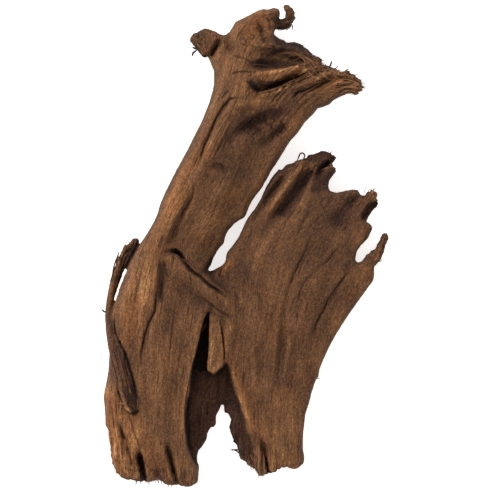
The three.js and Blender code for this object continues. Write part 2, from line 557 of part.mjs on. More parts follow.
// Keeps the outer skin only: small bubbles where a groove runs under a ridge are filled with wood.
function outerSkin({ points, faces }) {
  const parent = Int32Array.from({ length: points.length / 3 }, (_, i) => i);
  const rootOf = (v) => {
    while (parent[v] !== v) {
      parent[v] = parent[parent[v]];
      v = parent[v];
    }
    return v;
  };
  for (let i = 0; i < faces.length; i += 3) {
    for (const k of [1, 2]) parent[rootOf(faces[i + k])] = rootOf(faces[i]);
  }
  const sizes = new Map();
  for (const v of faces) sizes.set(rootOf(v), (sizes.get(rootOf(v)) ?? 0) + 1);
  const largest = [...sizes].reduce((a, b) => (b[1] > a[1] ? b : a))[0];
  return { points, faces: faces.filter((v, i) => rootOf(faces[i - (i % 3)]) === largest) };
}

// Thins the mesh out: again and again the edge goes whose loss moves the surface least, as measured by
// the summed squared distances to the planes of the faces that its two ends have stood for.
function thinOut({ points, faces }, target) {
  const at = Float64Array.from(points);
  const total = at.length / 3;
  const alive = new Uint8Array(faces.length / 3).fill(1);
  const around = Array.from({ length: total }, () => []);
  faces.forEach((v, i) => around[v].push(Math.floor(i / 3)));
  const quadrics = new Float64Array(total * 10);
  const stamp = new Int32Array(total);
  const normalOf = (a, b, c) => {
    const ux = b[0] - a[0];
    const uy = b[1] - a[1];
    const uz = b[2] - a[2];
    const vx = c[0] - a[0];
    const vy = c[1] - a[1];
    const vz = c[2] - a[2];
    return [uy * vz - uz * vy, uz * vx - ux * vz, ux * vy - uy * vx];
  };
  const point = (v) => [at[3 * v], at[3 * v + 1], at[3 * v + 2]];
  const cosine = (a, b) => {
    const dot = a[0] * b[0] + a[1] * b[1] + a[2] * b[2];
    return dot / (Math.hypot(...a) * Math.hypot(...b) || 1);
  };
  const outwards = new Float64Array(total * 3); // which way the skin faces round each point
  for (let f = 0; f < alive.length; f++) {
    const corners = [0, 1, 2].map((k) => faces[3 * f + k]);
    const p = corners.map(point);
    const n = normalOf(...p);
    const length = Math.hypot(...n);
    if (length < 1e-9) continue;
    const [a, b, c] = n.map((v) => v / length);
    const d = -(a * p[0][0] + b * p[0][1] + c * p[0][2]);
    const weight = length * (c < -0.2 ? UNDERSIDE_WEIGHT : 1);
    const terms = [a * a, a * b, a * c, a * d, b * b, b * c, b * d, c * c, c * d, d * d];
    for (const v of corners) {
      terms.forEach((term, k) => (quadrics[10 * v + k] += weight * term));
      n.forEach((value, k) => (outwards[3 * v + k] += value));
    }
  }
  for (let v = 0; v < total; v++) {
    const size = Math.hypot(outwards[3 * v], outwards[3 * v + 1], outwards[3 * v + 2]) || 1;
    for (let k = 0; k < 3; k++) outwards[3 * v + k] /= size;
  }
  const costAt = (q, [x, y, z]) =>
    q[0] * x * x + q[4] * y * y + q[7] * z * z + 2 * (q[1] * x * y + q[2] * x * z + q[5] * y * z) +
    2 * (q[3] * x + q[6] * y + q[8] * z) + q[9];
  // The best place for the point that takes the edge's place.
  const planned = (a, b) => {
    const q = Array.from({ length: 10 }, (_, k) => quadrics[10 * a + k] + quadrics[10 * b + k]);
    const pa = point(a);
    const pb = point(b);
    const middle = pa.map((v, k) => (v + pb[k]) / 2);
    const span = Math.hypot(pa[0] - pb[0], pa[1] - pb[1], pa[2] - pb[2]);
    const m = new THREE.Matrix3().set(q[0], q[1], q[2], q[1], q[4], q[5], q[2], q[5], q[7]);
    const choices = [middle, pa, pb];
    if (Math.abs(m.determinant()) > 1e-4 * (q[0] + q[4] + q[7]) ** 3) {
      const best = new THREE.Vector3(-q[3], -q[6], -q[8]).applyMatrix3(m.invert());
      if (Math.hypot(best.x - middle[0], best.y - middle[1], best.z - middle[2]) < span)
        choices.unshift([best.x, best.y, best.z]);
    }
    let chosen = { cost: Infinity };
    for (const spot of choices) {
      const cost = costAt(q, spot) + SLIVER_COST * span * span;
      if (cost < chosen.cost) chosen = { cost, spot };
    }
    return { a, b, stamp: stamp[a] + stamp[b], ...chosen };
  };
  const heap = [];
  const push = (item) => {
    let i = heap.push(item) - 1;
    while (i > 0) {
      const up = (i - 1) >> 1;
      if (heap[up].cost <= item.cost) break;
      heap[i] = heap[up];
      i = up;
    }
    heap[i] = item;
  };
  const pop = () => {
    const first = heap[0];
    const last = heap.pop();
    if (!heap.length) return first;
    let i = 0;
    for (;;) {
      let down = 2 * i + 1;
      if (down >= heap.length) break;
      if (down + 1 < heap.length && heap[down + 1].cost < heap[down].cost) down++;
      if (heap[down].cost >= last.cost) break;
      heap[i] = heap[down];
      i = down;
    }
    heap[i] = last;
    return first;
  };
  const neighbours = (v) => {
    const found = new Set();
    for (const f of around[v]) for (let k = 0; k < 3; k++) found.add(faces[3 * f + k]);
    found.delete(v);
    return found;
  };
  const longestSide = (ring) => {
    const side = (p, q) => Math.hypot(p[0] - q[0], p[1] - q[1], p[2] - q[2]);
    return Math.max(side(ring[0], ring[1]), side(ring[1], ring[2]), side(ring[2], ring[0]));
  };
  // A face may turn and narrow only so far when one of its corners moves to the new spot.
  const keepsShape = (v, gone, spot) => {
    for (const f of around[v]) {
      const corners = [0, 1, 2].map((k) => faces[3 * f + k]);
      if (corners.includes(gone)) continue;
      const before = normalOf(...corners.map(point));
      const moved = corners.map((c) => (c === v ? spot : point(c)));
      const after = normalOf(...moved);
      const size = Math.hypot(...after);
      const facing = [0, 1, 2].map((k) => corners.reduce((sum, c) => sum + outwards[3 * c + k], 0));
      if (cosine(before, after) < MOST_TURN && cosine(facing, after) < MOST_LEAN) return false;
      if (size < LEAST_SIZE) return false;
      const fullness = size / longestSide(moved) ** 2;
      const fullnessBefore = Math.hypot(...before) / longestSide(corners.map(point)) ** 2;
      if (fullness < NARROWEST && fullness < fullnessBefore) return false;
    }
    return true;
  };
  const pushAll = () => {
    for (let v = 0; v < total; v++) {
      for (const other of neighbours(v)) {
        if (other > v) push(planned(v, other));
      }
    }
  };
  let left = alive.length;
  let before = Infinity;
  while (left > target) {
    if (!heap.length) {
      // Edges that were refused may go now that their surroundings have changed.
      if (left === before) break;
      before = left;
      pushAll();
    }
    const { a, b, stamp: made, spot } = pop();
    if (stamp[a] < 0 || stamp[b] < 0 || made !== stamp[a] + stamp[b]) continue;
    const near = neighbours(a);
    const shared = [...neighbours(b)].filter((v) => near.has(v));
    if (shared.length !== 2 || !keepsShape(a, b, spot) || !keepsShape(b, a, spot)) continue;
    for (const f of around[b]) {
      if ([0, 1, 2].some((k) => faces[3 * f + k] === a)) {
        alive[f] = 0;
        left--;
        for (let k = 0; k < 3; k++) {
          const v = faces[3 * f + k];
          if (v !== b) around[v] = around[v].filter((face) => face !== f);
        }
      } else {
        for (let k = 0; k < 3; k++) if (faces[3 * f + k] === b) faces[3 * f + k] = a;
        around[a].push(f);
      }
    }
    around[b] = [];
    stamp[b] = -1;
    stamp[a]++;
    for (let k = 0; k < 3; k++) at[3 * a + k] = spot[k];
    for (let k = 0; k < 3; k++) outwards[3 * a + k] = (outwards[3 * a + k] + outwards[3 * b + k]) / 2;
    for (let k = 0; k < 10; k++) quadrics[10 * a + k] += quadrics[10 * b + k];
    for (const other of neighbours(a)) push(planned(a, other));
  }
  const kept = faces.filter((_, i) => alive[Math.floor(i / 3)]);
  return { points: Array.from(at), faces: kept };
}

// Reads three.js geometry in as a solid for cutting, and out again.
const wasm = await Module();
wasm.setup();
function solidOf(geometry) {
  const bare = new THREE.BufferGeometry();
  bare.setAttribute("position", geometry.toNonIndexed().getAttribute("position"));
  const merged = mergeVertices(bare, 1e-4);
  return new wasm.Manifold(
    new wasm.Mesh({
      numProp: 3,
      vertProperties: new Float32Array(merged.attributes.position.array),
      triVerts: new Uint32Array(merged.index.array),
    }),
  );
}
function geometryOf(solid) {
  const { vertProperties, triVerts } = solid.getMesh();
  const geometry = new THREE.BufferGeometry();
  geometry.setAttribute("position", new THREE.BufferAttribute(vertProperties, 3));
  geometry.setIndex(new THREE.BufferAttribute(triVerts, 1));
  const flat = geometry.toNonIndexed();
  flat.computeVertexNormals();
  return flat;
}

const thinned = thinOut(outerSkin(zeroSurface(sampleField())), TRIANGLES);
const rough = new THREE.BufferGeometry();
rough.setAttribute("position", new THREE.Float32BufferAttribute(thinned.points, 3));
rough.setIndex(thinned.faces);

// The ground cuts the pads off flat, so that the piece lies steady.
const GROUND = { width: 400, depth: 500, height: 20 };
const ground = new THREE.BoxGeometry(GROUND.width, GROUND.depth, GROUND.height);
ground.translate(0, 0, -GROUND.height / 2);
const geometry = geometryOf(solidOf(rough).subtract(solidOf(ground)));

// The origin is under the middle of the piece.
geometry.computeBoundingBox();
const middle = geometry.boundingBox.getCenter(new THREE.Vector3());
geometry.translate(-middle.x, -middle.y, -geometry.boundingBox.min.z);

const weatheredWood = new THREE.MeshStandardMaterial({ color: 0x7a5539, roughness: 0.85, metalness: 0 });
const driftwood = new THREE.Mesh(geometry, weatheredWood);
driftwood.name = "driftwood";

const group = new THREE.Group();
group.name = "driftwood_piece";
group.add(driftwood);
export default group;
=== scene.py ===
# %% [markdown]
# # A piece of driftwood, seen from straight above
# The solid model of the root is loaded as a fixed frame. This file gives it the skin of the real thing:
# cracks along the grain, fibrous relief, loose fibres and rootlets, and the colours of dry weathered root
# wood. The drawing sheet of the solid is used again here, so a crack can be placed by the same squares: x
# to the right and y down.

# %% Load the frame and keep its size
import json

import bmesh
import bpy
import numpy as np
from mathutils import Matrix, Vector

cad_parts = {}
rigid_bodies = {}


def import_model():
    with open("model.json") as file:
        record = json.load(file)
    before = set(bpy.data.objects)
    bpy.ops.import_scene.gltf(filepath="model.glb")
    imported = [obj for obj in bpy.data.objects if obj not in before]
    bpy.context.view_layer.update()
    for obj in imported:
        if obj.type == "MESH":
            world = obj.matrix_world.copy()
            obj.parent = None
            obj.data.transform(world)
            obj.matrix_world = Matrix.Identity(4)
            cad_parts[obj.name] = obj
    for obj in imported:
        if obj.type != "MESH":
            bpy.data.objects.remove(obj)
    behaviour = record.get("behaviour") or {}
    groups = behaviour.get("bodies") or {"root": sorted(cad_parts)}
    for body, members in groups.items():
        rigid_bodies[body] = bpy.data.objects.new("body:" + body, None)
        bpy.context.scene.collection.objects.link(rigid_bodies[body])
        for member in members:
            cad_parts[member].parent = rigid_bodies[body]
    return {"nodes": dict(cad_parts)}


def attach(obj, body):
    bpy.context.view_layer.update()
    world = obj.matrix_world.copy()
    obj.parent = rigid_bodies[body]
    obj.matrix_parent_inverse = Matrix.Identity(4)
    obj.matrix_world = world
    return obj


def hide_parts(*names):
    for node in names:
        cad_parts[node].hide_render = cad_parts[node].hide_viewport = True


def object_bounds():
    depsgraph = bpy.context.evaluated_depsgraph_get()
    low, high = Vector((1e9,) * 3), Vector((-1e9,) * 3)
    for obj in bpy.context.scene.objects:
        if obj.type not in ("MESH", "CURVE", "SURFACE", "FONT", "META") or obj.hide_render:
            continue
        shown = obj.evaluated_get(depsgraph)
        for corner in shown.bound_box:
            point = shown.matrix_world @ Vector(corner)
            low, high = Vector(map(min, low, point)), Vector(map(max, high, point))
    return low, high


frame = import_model()
cad_low, cad_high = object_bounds()
print("solid's box in mm:", [round(1000 * (b - a), 1) for a, b in zip(cad_low, cad_high)])

# %% The drawing sheet
MM = 0.001
SQUARE = 360 / 482 * MM  # metres in one square of the sheet
SHEET_MIDDLE = (246.75, 246.0)  # the square over the origin
PICTURE = 492  # squares across the camera's picture


def on_sheet(path):
    """Sheet squares to metres, seen from above."""
    path = np.asarray(path, dtype=float)
    return (path - SHEET_MIDDLE) * (SQUARE, -SQUARE)


def path_of(text):
    """Points written as 'x,y x,y' as a list of pairs."""
    return [tuple(float(v) for v in point.split(",")) for point in text.split()]


def rows_of(*texts):
    """Rows written as 'points: number number;' as a list of (path, number, number)."""
    rows = [row.split(":") for text in texts for row in text.split(";")[:-1]]
    return [(path_of(path), *(float(v) for v in numbers.split())) for path, numbers in rows]


print("one square is", round(SQUARE / MM, 3), "mm")

# %% [markdown]
# ## Camera, floor and light
# Such pieces are pictured on a back-lit white table under a large soft box, so that gaps and surroundings
# stay white. The camera looks straight down through a long lens, which keeps high and low parts of the root
# in their true places. A big soft light from the upper left shapes the ridges, and the pale surroundings
# open the shadows.

# %% Camera
CAMERA_HEIGHT = 2.2
EDGE_HEIGHT = 0.018  # most of the outline lies about this high
SENSOR = 36  # width in millimetres
CLIP_END = 20
camera = bpy.data.objects.new("camera", bpy.data.cameras.new("camera"))
bpy.context.scene.collection.objects.link(camera)
camera.location = (*on_sheet((PICTURE / 2, PICTURE / 2)), CAMERA_HEIGHT)
camera.data.sensor_width = SENSOR
camera.data.lens = SENSOR * (CAMERA_HEIGHT - EDGE_HEIGHT) / (PICTURE * SQUARE)
camera.data.clip_end = CLIP_END
bpy.context.scene.camera = camera
print("lens in mm:", round(camera.data.lens))

# %% Light
LIGHTS = {"key": ((-1.1, 0.95, 1.35), 27, 1.1), "fill": ((1.3, -0.7, 1.6), 3, 1.5)}  # place, watts, width
SKY = 0.72


def linear(hex_colour):
    """An sRGB hex colour as linear red, green, blue and alpha."""
    parts = [int(hex_colour[i:i + 2], 16) / 255 for i in (1, 3, 5)]
    return [c / 12.92 if c <= 0.04045 else ((c + 0.055) / 1.055) ** 2.4 for c in parts] + [1.0]


for name, (place, power, size) in LIGHTS.items():
    light = bpy.data.objects.new(name, bpy.data.lights.new(name, "AREA"))
    light.data.energy = power
    light.data.shape = "DISK"
    light.data.size = size
    light.location = place
    light.rotation_euler = (-Vector(place)).to_track_quat("-Z", "Y").to_euler()
    bpy.context.scene.collection.objects.link(light)

world = bpy.data.worlds.new("pale_room")
world.use_nodes = True
background = world.node_tree.nodes["Background"]
background.inputs["Color"].default_value = linear("#fbfaf8")
background.inputs["Strength"].default_value = SKY
bpy.context.scene.world = world
bpy.context.scene.view_settings.view_transform = "Standard"
print("lights:", ", ".join(LIGHTS))

# %% Floor of white card that glows a little, like the back-lit table
TABLE_GLOW = 0.66
FLOOR_REACH = 3


def new_material(name):
    material = bpy.data.materials.new(name)
    material.use_nodes = True
    return material, material.node_tree, material.node_tree.nodes["Principled BSDF"]


floor_mesh = bpy.data.meshes.new("floor")
corners = [(x * FLOOR_REACH, y * FLOOR_REACH, 0) for x, y in ((-1, -1), (1, -1), (1, 1), (-1, 1))]
floor_mesh.from_pydata(corners, [], [(0, 1, 2, 3)])
floor = bpy.data.objects.new("floor", floor_mesh)
bpy.context.scene.collection.objects.link(floor)
card, _, card_shader = new_material("white_card")
card_shader.inputs["Base Color"].default_value = linear("#f8f7f5")
card_shader.inputs["Roughness"].default_value = 0.9
card_shader.inputs["Emission Color"].default_value = linear("#ffffff")
card_shader.inputs["Emission Strength"].default_value = TABLE_GLOW
floor_mesh.materials.append(card)
print("floor:", 2 * FLOOR_REACH, "m wide")

# %% [markdown]
# ## The body's skin
# The solid is made of large flat faces. A voxel remesh gives an even skin that is fine enough to carve, and
# smoothing takes the flat faces out of it. Carving into displaced subdivisions would be an alternative, but
# its faces would crowd where the solid's faces are small.

# %% An even, fine skin
VOXEL = 0.86 * MM
SAME_PLACE = 1e-6  # corners closer than this are one


def linked(name, mesh):
    made = bpy.data.objects.new(name, mesh)
    bpy.context.scene.collection.objects.link(made)
    return made


def baked(thing):
    """The evaluated thing as a plain mesh, with its attributes."""
    bpy.context.view_layer.update()
    graph = bpy.context.evaluated_depsgraph_get()
    return bpy.data.meshes.new_from_object(
        thing.evaluated_get(graph), preserve_all_data_layers=True, depsgraph=graph
    )


merged = bmesh.new()
merged.from_mesh(frame["nodes"]["driftwood"].data)
bmesh.ops.remove_doubles(merged, verts=merged.verts, dist=SAME_PLACE)
start_mesh = bpy.data.meshes.new("start")
merged.to_mesh(start_mesh)
merged.free()
body = linked("driftwood_body", start_mesh)
remesh = body.modifiers.new("even_skin", "REMESH")
remesh.mode = "VOXEL"
remesh.voxel_size = VOXEL
body.data = baked(body)
body.modifiers.clear()
print("even skin:", len(body.data.vertices), "points")

# %% Smooth the flat faces away without shrinking the thin parts
SMOOTH_ROUNDS = 7
SHRINK, SWELL = 0.5, -0.52  # share of the way towards the neighbours


def points_of(mesh, layer="co"):
    values = np.empty(len(mesh.vertices) * 3, dtype=np.float32)
    mesh.vertices.foreach_get(layer, values)
    return values.reshape(-1, 3).astype(float)


def move_points(mesh, points):
    mesh.vertices.foreach_set("co", points.astype(np.float32).ravel())
    mesh.update()


def keep_above_floor(mesh):
    points = points_of(mesh)
    points[:, 2] = np.maximum(points[:, 2], 0)
    move_points(mesh, points)


def smoothed(points, edges, rounds):
    """Alternates shrinking and swelling steps towards each point's neighbours."""
    a, b = edges[:, 0], edges[:, 1]
    count = np.bincount(a, minlength=len(points)) + np.bincount(b, minlength=len(points))
    for share in (SHRINK, SWELL) * rounds:
        for axis in range(3):
            v = points[:, axis]
            near = np.bincount(a, v[b], len(v)) + np.bincount(b, v[a], len(v))
            points[:, axis] = v + share * (near / count - v)
    return points


edges = np.empty(len(body.data.edges) * 2, dtype=np.int32)
body.data.edges.foreach_get("vertices", edges)
move_points(body.data, smoothed(points_of(body.data), edges.reshape(-1, 2), SMOOTH_ROUNDS))
keep_above_floor(body.data)
print("smoothed over", SMOOTH_ROUNDS, "rounds")

# %% [markdown]
# ## Which way the grain runs
# Everything on driftwood follows the grain: streaks, cracks, fibres. A few strokes drawn along the wood
# give its direction, blended in between. From them come two distances, across the grain and along it, by
# the same least squares fit that flattens a map. A pattern laid on these distances bends with the wood,
# where one on plain coordinates would run straight through every curve.

# %% Grain strokes, each drawn from the crown's side towards the legs
GRAIN_STROKES = [path_of(stroke) for stroke in """
    214,75 211,100 200,130 185,162 168,200 152,235 138,265 127,300 119,340 113,380 112,420 118,475;
    248,105 232,130 215,165 200,200 183,235 172,265 165,300 160,340 156,380 152,430 150,480;
    300,118 283,145 262,180 243,210 225,238 212,262;
    196,285 192,310 186,340 180,380 176,420 180,460 185,485; 276,14 255,30 243,50 238,75 240,95 236,112;
    195,38 207,48 216,62 222,80 220,98; 360,82 335,80 310,84 285,92 262,98 246,108;
    352,92 325,100 300,112 282,128; 320,62 300,55 280,55 262,62 250,75;
    325,155 308,178 288,206 268,236 256,262 250,290 248,320 250,360 256,400 262,440 266,475;
    355,192 338,215 318,245 300,275 286,310 280,350 277,400 277,450 278,470;
    386,236 375,262 358,285 338,312 322,342 308,375 298,415 294,465;
    372,196 352,225 330,258 312,290 300,325 292,365 288,410 286,450;
    278,172 262,200 246,230 236,255 236,285 240,310 238,340 240,375 248,420;
    178,258 195,272 212,288 228,302 243,322 250,350;
    136,242 123,262 114,288 110,315 112,340 120,365 128,395 133,408;
    214,330 208,360 203,400 198,440 196,470; 226,365 232,400 244,435 256,468; 213,312 214,340 213,372;
""".split(";")[:-1]]
GRID_STEP = 2 * MM
GRAIN_REACH = 4 * MM  # a stroke's pull evens out this close to it
PULLS = np.arange(0.1, 1, 0.2)  # each piece of a stroke pulls from these shares of its length

grid_x = np.arange(cad_low.x - 3 * GRID_STEP, cad_high.x + 4 * GRID_STEP, GRID_STEP)
grid_y = np.arange(cad_low.y - 3 * GRID_STEP, cad_high.y + 4 * GRID_STEP, GRID_STEP)
gx, gy = np.meshgrid(grid_x, grid_y)
flow = np.zeros(gx.shape + (2,))
for stroke in GRAIN_STROKES:
    line = on_sheet(stroke)
    for a, b in zip(line[:-1], line[1:]):
        length = np.hypot(*(b - a))
        for share in PULLS:
            x, y = a + share * (b - a)
            pull = length / ((gx - x) ** 2 + (gy - y) ** 2 + GRAIN_REACH ** 2) ** 1.5
            flow += pull[..., None] * (b - a) / length
flow /= np.linalg.norm(flow, axis=2, keepdims=True)
print("grain strokes:", len(GRAIN_STROKES), "on", gx.size, "grid points")


# %% Distances across and along the grain
def fitted_distance(direction, rounds=600, good_enough=1e-16):
    """The distance whose slope comes closest to the direction everywhere, by conjugate gradients."""
    def divergence(u, v):
        out = np.zeros(gx.shape)
        out[:, :-1] += u
        out[:, 1:] -= u
        out[:-1] += v
        out[1:] -= v
        return out

    def laplacian(p):
        return divergence(p[:, 1:] - p[:, :-1], p[1:] - p[:-1])

    u = (direction[:, 1:, 0] + direction[:, :-1, 0]) / 2 * GRID_STEP
    v = (direction[1:, :, 1] + direction[:-1, :, 1]) / 2 * GRID_STEP
    p = np.zeros(gx.shape)
    r = divergence(u, v)
    d, rr = r.copy(), (r * r).sum()
    for _ in range(rounds):
        q = laplacian(d)
        step = rr / (d * q).sum()
        p += step * d
        r -= step * q
        rr, before = (r * r).sum(), rr
        if rr < good_enough:
            break
        d = r + rr / before * d
    return p


across = fitted_distance(np.stack([-flow[..., 1], flow[..., 0]], axis=2))
along = fitted_distance(flow)


def from_grid(grid, x, y):
    """A grid's value at each point, straight between its four nearest grid points."""
    fx = np.clip((x - grid_x[0]) / GRID_STEP, 0, len(grid_x) - 1.001)
    fy = np.clip((y - grid_y[0]) / GRID_STEP, 0, len(grid_y) - 1.001)
    i, j = fx.astype(int), fy.astype(int)
    fx, fy = fx - i, fy - j
    top = grid[j, i] * (1 - fx) + grid[j, i + 1] * fx
    bottom = grid[j + 1, i] * (1 - fx) + grid[j + 1, i + 1] * fx
    return top * (1 - fy) + bottom * fy


print("grain spans", round(1000 * np.ptp(across)), "mm across and", round(1000 * np.ptp(along)), "mm along")

# %% [markdown]
# ## Places with a sharp edge
# Where the wood has torn, a plate ends in a crisp line and what lies below it is in shade. A soft stroke
# would blur that line, so such a place is drawn as a closed outline. Inside it the skin is lowered or raised,
# and the same outline later darkens the colour with painted shade or lights it, so that form and colour end
# together. A few places are levelled instead: they are filled up to a straight line between two heights of
# the skin, which gives a flat strap its square shoulder.

# %% Outlines: points, edge width in squares, lift in millimetres, tone, warmth, painted shade
LEG_EDGE = path_of("""
    201,331 199.8,338 197.5,346 195.8,354 193.5,361 191.8,369 190.5,376 190,384 189.3,392 187.5,399 186,407
    185,415 185,424 185.8,432 186.8,440 187.5,446
""")
SPLINTER_TIP = path_of("207.3,370.8 210.8,371.3 214,374.2 216.5,371.3 220,367.7 223.8,362.6")
RIGHT_LEG_EDGE = path_of("""
    225.5,361 227.5,364 228.8,369 229.8,376 231,384 233,390 235.5,396 239,399 240.2,404 241.5,410 244,417
    246,424 246,430 247.5,434.5 250.5,433 254,437.5 256.5,442 257,447 254,452 253.5,458 253.5,462 255.5,467
""")
WEB = path_of("222,404 221,395 219.5,385 219.5,368.5")  # runs up the middle between the two torn flanks
# The slot beside the splinter and the two torn flanks are darkened as painted shade.
PLACES = [  # the slot beside the splinter, and the two torn flanks between the legs
    (path_of("209.8,311.5 207,312.5 204,319 202.5,324") + LEG_EDGE[:6] + path_of("""
    191.6,371.5 196,369.5 200,372.3 204,370.6 207.2,371.5 207.2,362 208,355 208.6,345 208.9,335 209,325
    """), 1.0, -2.0, -1.0, -0.6, 0.9),
    (LEG_EDGE[6:] + path_of("189.5,453 193,461 196.5,467 201,467 201,450 207,443 212,432 219,428 218,415")
     + WEB + SPLINTER_TIP[3::-1] + path_of("191.6,371.3"), 1.1, -1.0, -0.5, -1.0, 0.0),
    (RIGHT_LEG_EDGE + path_of("259,474 250,476 235,462 226,450 225,430 222,412") + WEB + path_of("223.8,363"),
     1.1, -1.0, -0.5, -0.8, 0.0),
] + rows_of(
    # furrow along the left flank, and the hollow under the splinter, both darkened as painted shade
    """
    186.5,397 184.8,410 184.6,424 186.5,442 189,451 191.5,450 189.5,436 188.5,420 188.8,408 190.5,398: 1.5
      -0.6 -0.5 -0.4 0.35;
    216,378 219,378 220,392 219,402 216.5,404 216.5,390: 2 -0.5 -0.4 0 0.3;
    """,
    # painted shade darkens the crevice under the tongue and the hollow at its root
    # crown: tongue, the crevice under it, the smear over it and the hollow at its root
    """
    256.5,72.5 262,73 270,72 280,70 290,68 297,67 303,69 307,71.5 300,75 290,79 281,80.5 272,82 262,82.2
      258,80 256,76: 1.1 1.6 0.5 0.2 0;
    258,82.5 270,83 281,81.5 291,79.7 300,76 308,71 309.5,74 304,77 296,80.5 289,85 281,88 272,89.5 264,88
      258,86: 1.1 -1.2 -0.4 -0.6 0.3;
    257,62 263,59 272,59 280,61 291,62 298,64 296,67 284,68.5 272,70 262,70 256,68: 2.2 -0.6 -0.65 -0.9 0;
    245,83 252,82 256,84 258,88 262,92 257,93 251,89: 2 -1.2 -0.8 -0.4 0.15;
    294,93 300,88 309,83 317,78 324,72 330,68.5 333,70 328,75 321,80 312,86 303,91 297,95: 1.1 1 0.2 0.1
      0;
    268,50 284,47 300,47 312,53 316,58 308,60 298,55 284,53 272,54: 2.5 0.5 -0.3 -0.2 0;
    """,
    # darker grey-violet, slightly sunk patches on the trunk under the crown
    """
    240,127 248,120 258,114 264,113 266,118 262,123 254,126 246,130: 4.5 -0.3 -0.5 -0.9 0;
    266,111 278,110 288,112 284,117 274,119 267,117: 4.5 -0.2 -0.4 -0.8 0;
    226,140 232,132 240,128 244,131 238,137 230,144: 4.5 -0.2 -0.4 -0.7 0;
    268,127 276,123 286,125 288,131 280,134 270,133: 4.5 -0.2 -0.4 -0.5 0;
    250,130 258,127 264,131 260,137 252,136: 4 -0.2 -0.4 -0.6 0;
    """,
    # dark rim of the crown behind the notch, and the foot of the curl, both darkened as painted shade
    """
    270,38 275,34 282,38 288,42 298,44 308,49 316,56 309,55 298,50 286,48 276,46: 1.8 -0.5 -0.6 -0.5 0;
    268,12 275,10 280,14 279,24 288,22 290,28 280,31 274,26 270,20: 2.5 0 -0.5 -0.5 0;
    """,
    # painted shade darkens the flute, the dark rim, the hole and the slot
    # plate: flute, the ridge beside it, the dark rim, the head and its hole, the slot of the second tooth
    """
    302,165 302.5,170 298,178 294,185 289,193 284,200 279.5,206 277,211 282,217 288,219 293,214 297,207
      301,200 304,193 307,186 310,178 313,171 310,168 305,172: 1.6 -0.7 -0.5 -0.6 0;
    301,161 302.5,166 298,176 289,191 281,203 275.5,211 268,222 262,228 264,218 270,207 276,195 283,184
      290,173 296,164: 1.8 0.4 0 -0.3 0;
    262,195 268,184 275,173 281,167 288,162 294,163 298,161 293,168 285,178 279,188 272,199 264,208: 2
      -0.4 -0.55 0.1 0;
    303,160 308,154 320,149 328,151 336,155 331,161 330,165 336,168 333,174 329,180 329,190 322,191
      316,193 309,191 312,184 314,176 317,168 318,162 313,161 307,168: 2 0 -0.55 -0.6 0;
    318,170.5 320,165 325,159.5 329,157.5 328,161 329,165 331,167 326,168.5: 1 -2.6 -0.5 -0.3 0.6;
    361.5,213 365,207 369,203 376,200.5 379.5,203 372,210 366.5,221 362,219: 1.2 -2.5 -0.2 -0.4 0.1;
    352,206 360,198 366,195 370,190 377,190 376.5,200 369,202.5 362,209 356,212: 1.6 0.3 0.3 -0.3 0;
    330,214 338,211 346,212 352,216 350,224 342,228 334,226 330,220: 9 0 -0.25 -1 0;
    """,
    # left leg: three slots at its end, dark with painted shade, and the dark side root that lies on it
    """
    138,452 140.5,452 143,457 145.5,462 146.5,467 146,473 147.5,478 144.5,484 141,484 141,474 139,470
      139.5,463 137,457: 1 -3 -0.4 -0.4 0.5;
    167,441 167.8,447 169,453 171,460 173.6,466 175.5,472 174.8,474 172.2,470 170.2,464 169,457 167.3,450:
      0.8 -2 -0.3 0 0.5;
    120.5,422 122,427 122,432 123.5,437 125.5,439 127,437.5 125,432 122.5,427: 0.9 -1.5 -0.7 0.4 0.4;
    109.5,318 115.5,318 116.5,326 119,334 123,343 127,351 130,360 133,370 136,380 138,390 139,398
      139.5,404 137,409 133,410 130,406 127,400 124,395 121,386 118.5,377 115,366 111.5,354 110,345: 1.2
      0.3 -0.42 -0.9 0;
    121,264 125,253 131,243 136,239 139.5,243 139,250 133,259 127,268 122,271: 1.6 -0.3 -0.5 -0.4 0;
    124,385 135,384 138,393 139,402 137,408 135,410.5 132,408 129,402: 2.2 0 -0.5 -0.6 0.25;
    """,
)
LEVELLED = [  # outline, the two places whose heights it is filled up to, and how abruptly it starts and ends
    (path_of("209.5,312 220.5,318 222,330 223.2,342 223.8,352") + SPLINTER_TIP[::-1]
     + path_of("207.4,362 208.2,352 208.8,342 209,325"), (216, 335), (216, 362), 100),
    (path_of("178,335 190,330") + LEG_EDGE + path_of("184,452 176,446 172,420 172,390 174,360"),
     (184, 340), (178, 436), 3.5),
]
print("sharp places:", len(PLACES), "and levelled:", len(LEVELLED))


# %% Which points a stroke or an outline takes in
def near_stroke(points, path, reach):
    """Which points lie within reach of the path, how far from it, and how far along it from 0 to 1."""
    line = on_sheet(path)
    low, high = line.min(0) - reach, line.max(0) + reach
    picked = np.nonzero(np.all((points[:, :2] > low) & (points[:, :2] < high), axis=1))[0]
    gap = np.full(len(picked), np.inf)
    place = np.zeros(len(picked))
    at = points[picked, :2]
    for i, (a, b) in enumerate(zip(line[:-1], line[1:])):
        edge = b - a
        share = np.clip(((at - a) @ edge) / (edge @ edge), 0, 1)
        distance = np.linalg.norm(at - a - share[:, None] * edge, axis=1)
        nearer = distance < gap
        gap[nearer] = distance[nearer]
        place[nearer] = (i + share[nearer]) / (len(line) - 1)
    close = gap < reach
    return picked[close], gap[close], place[close]


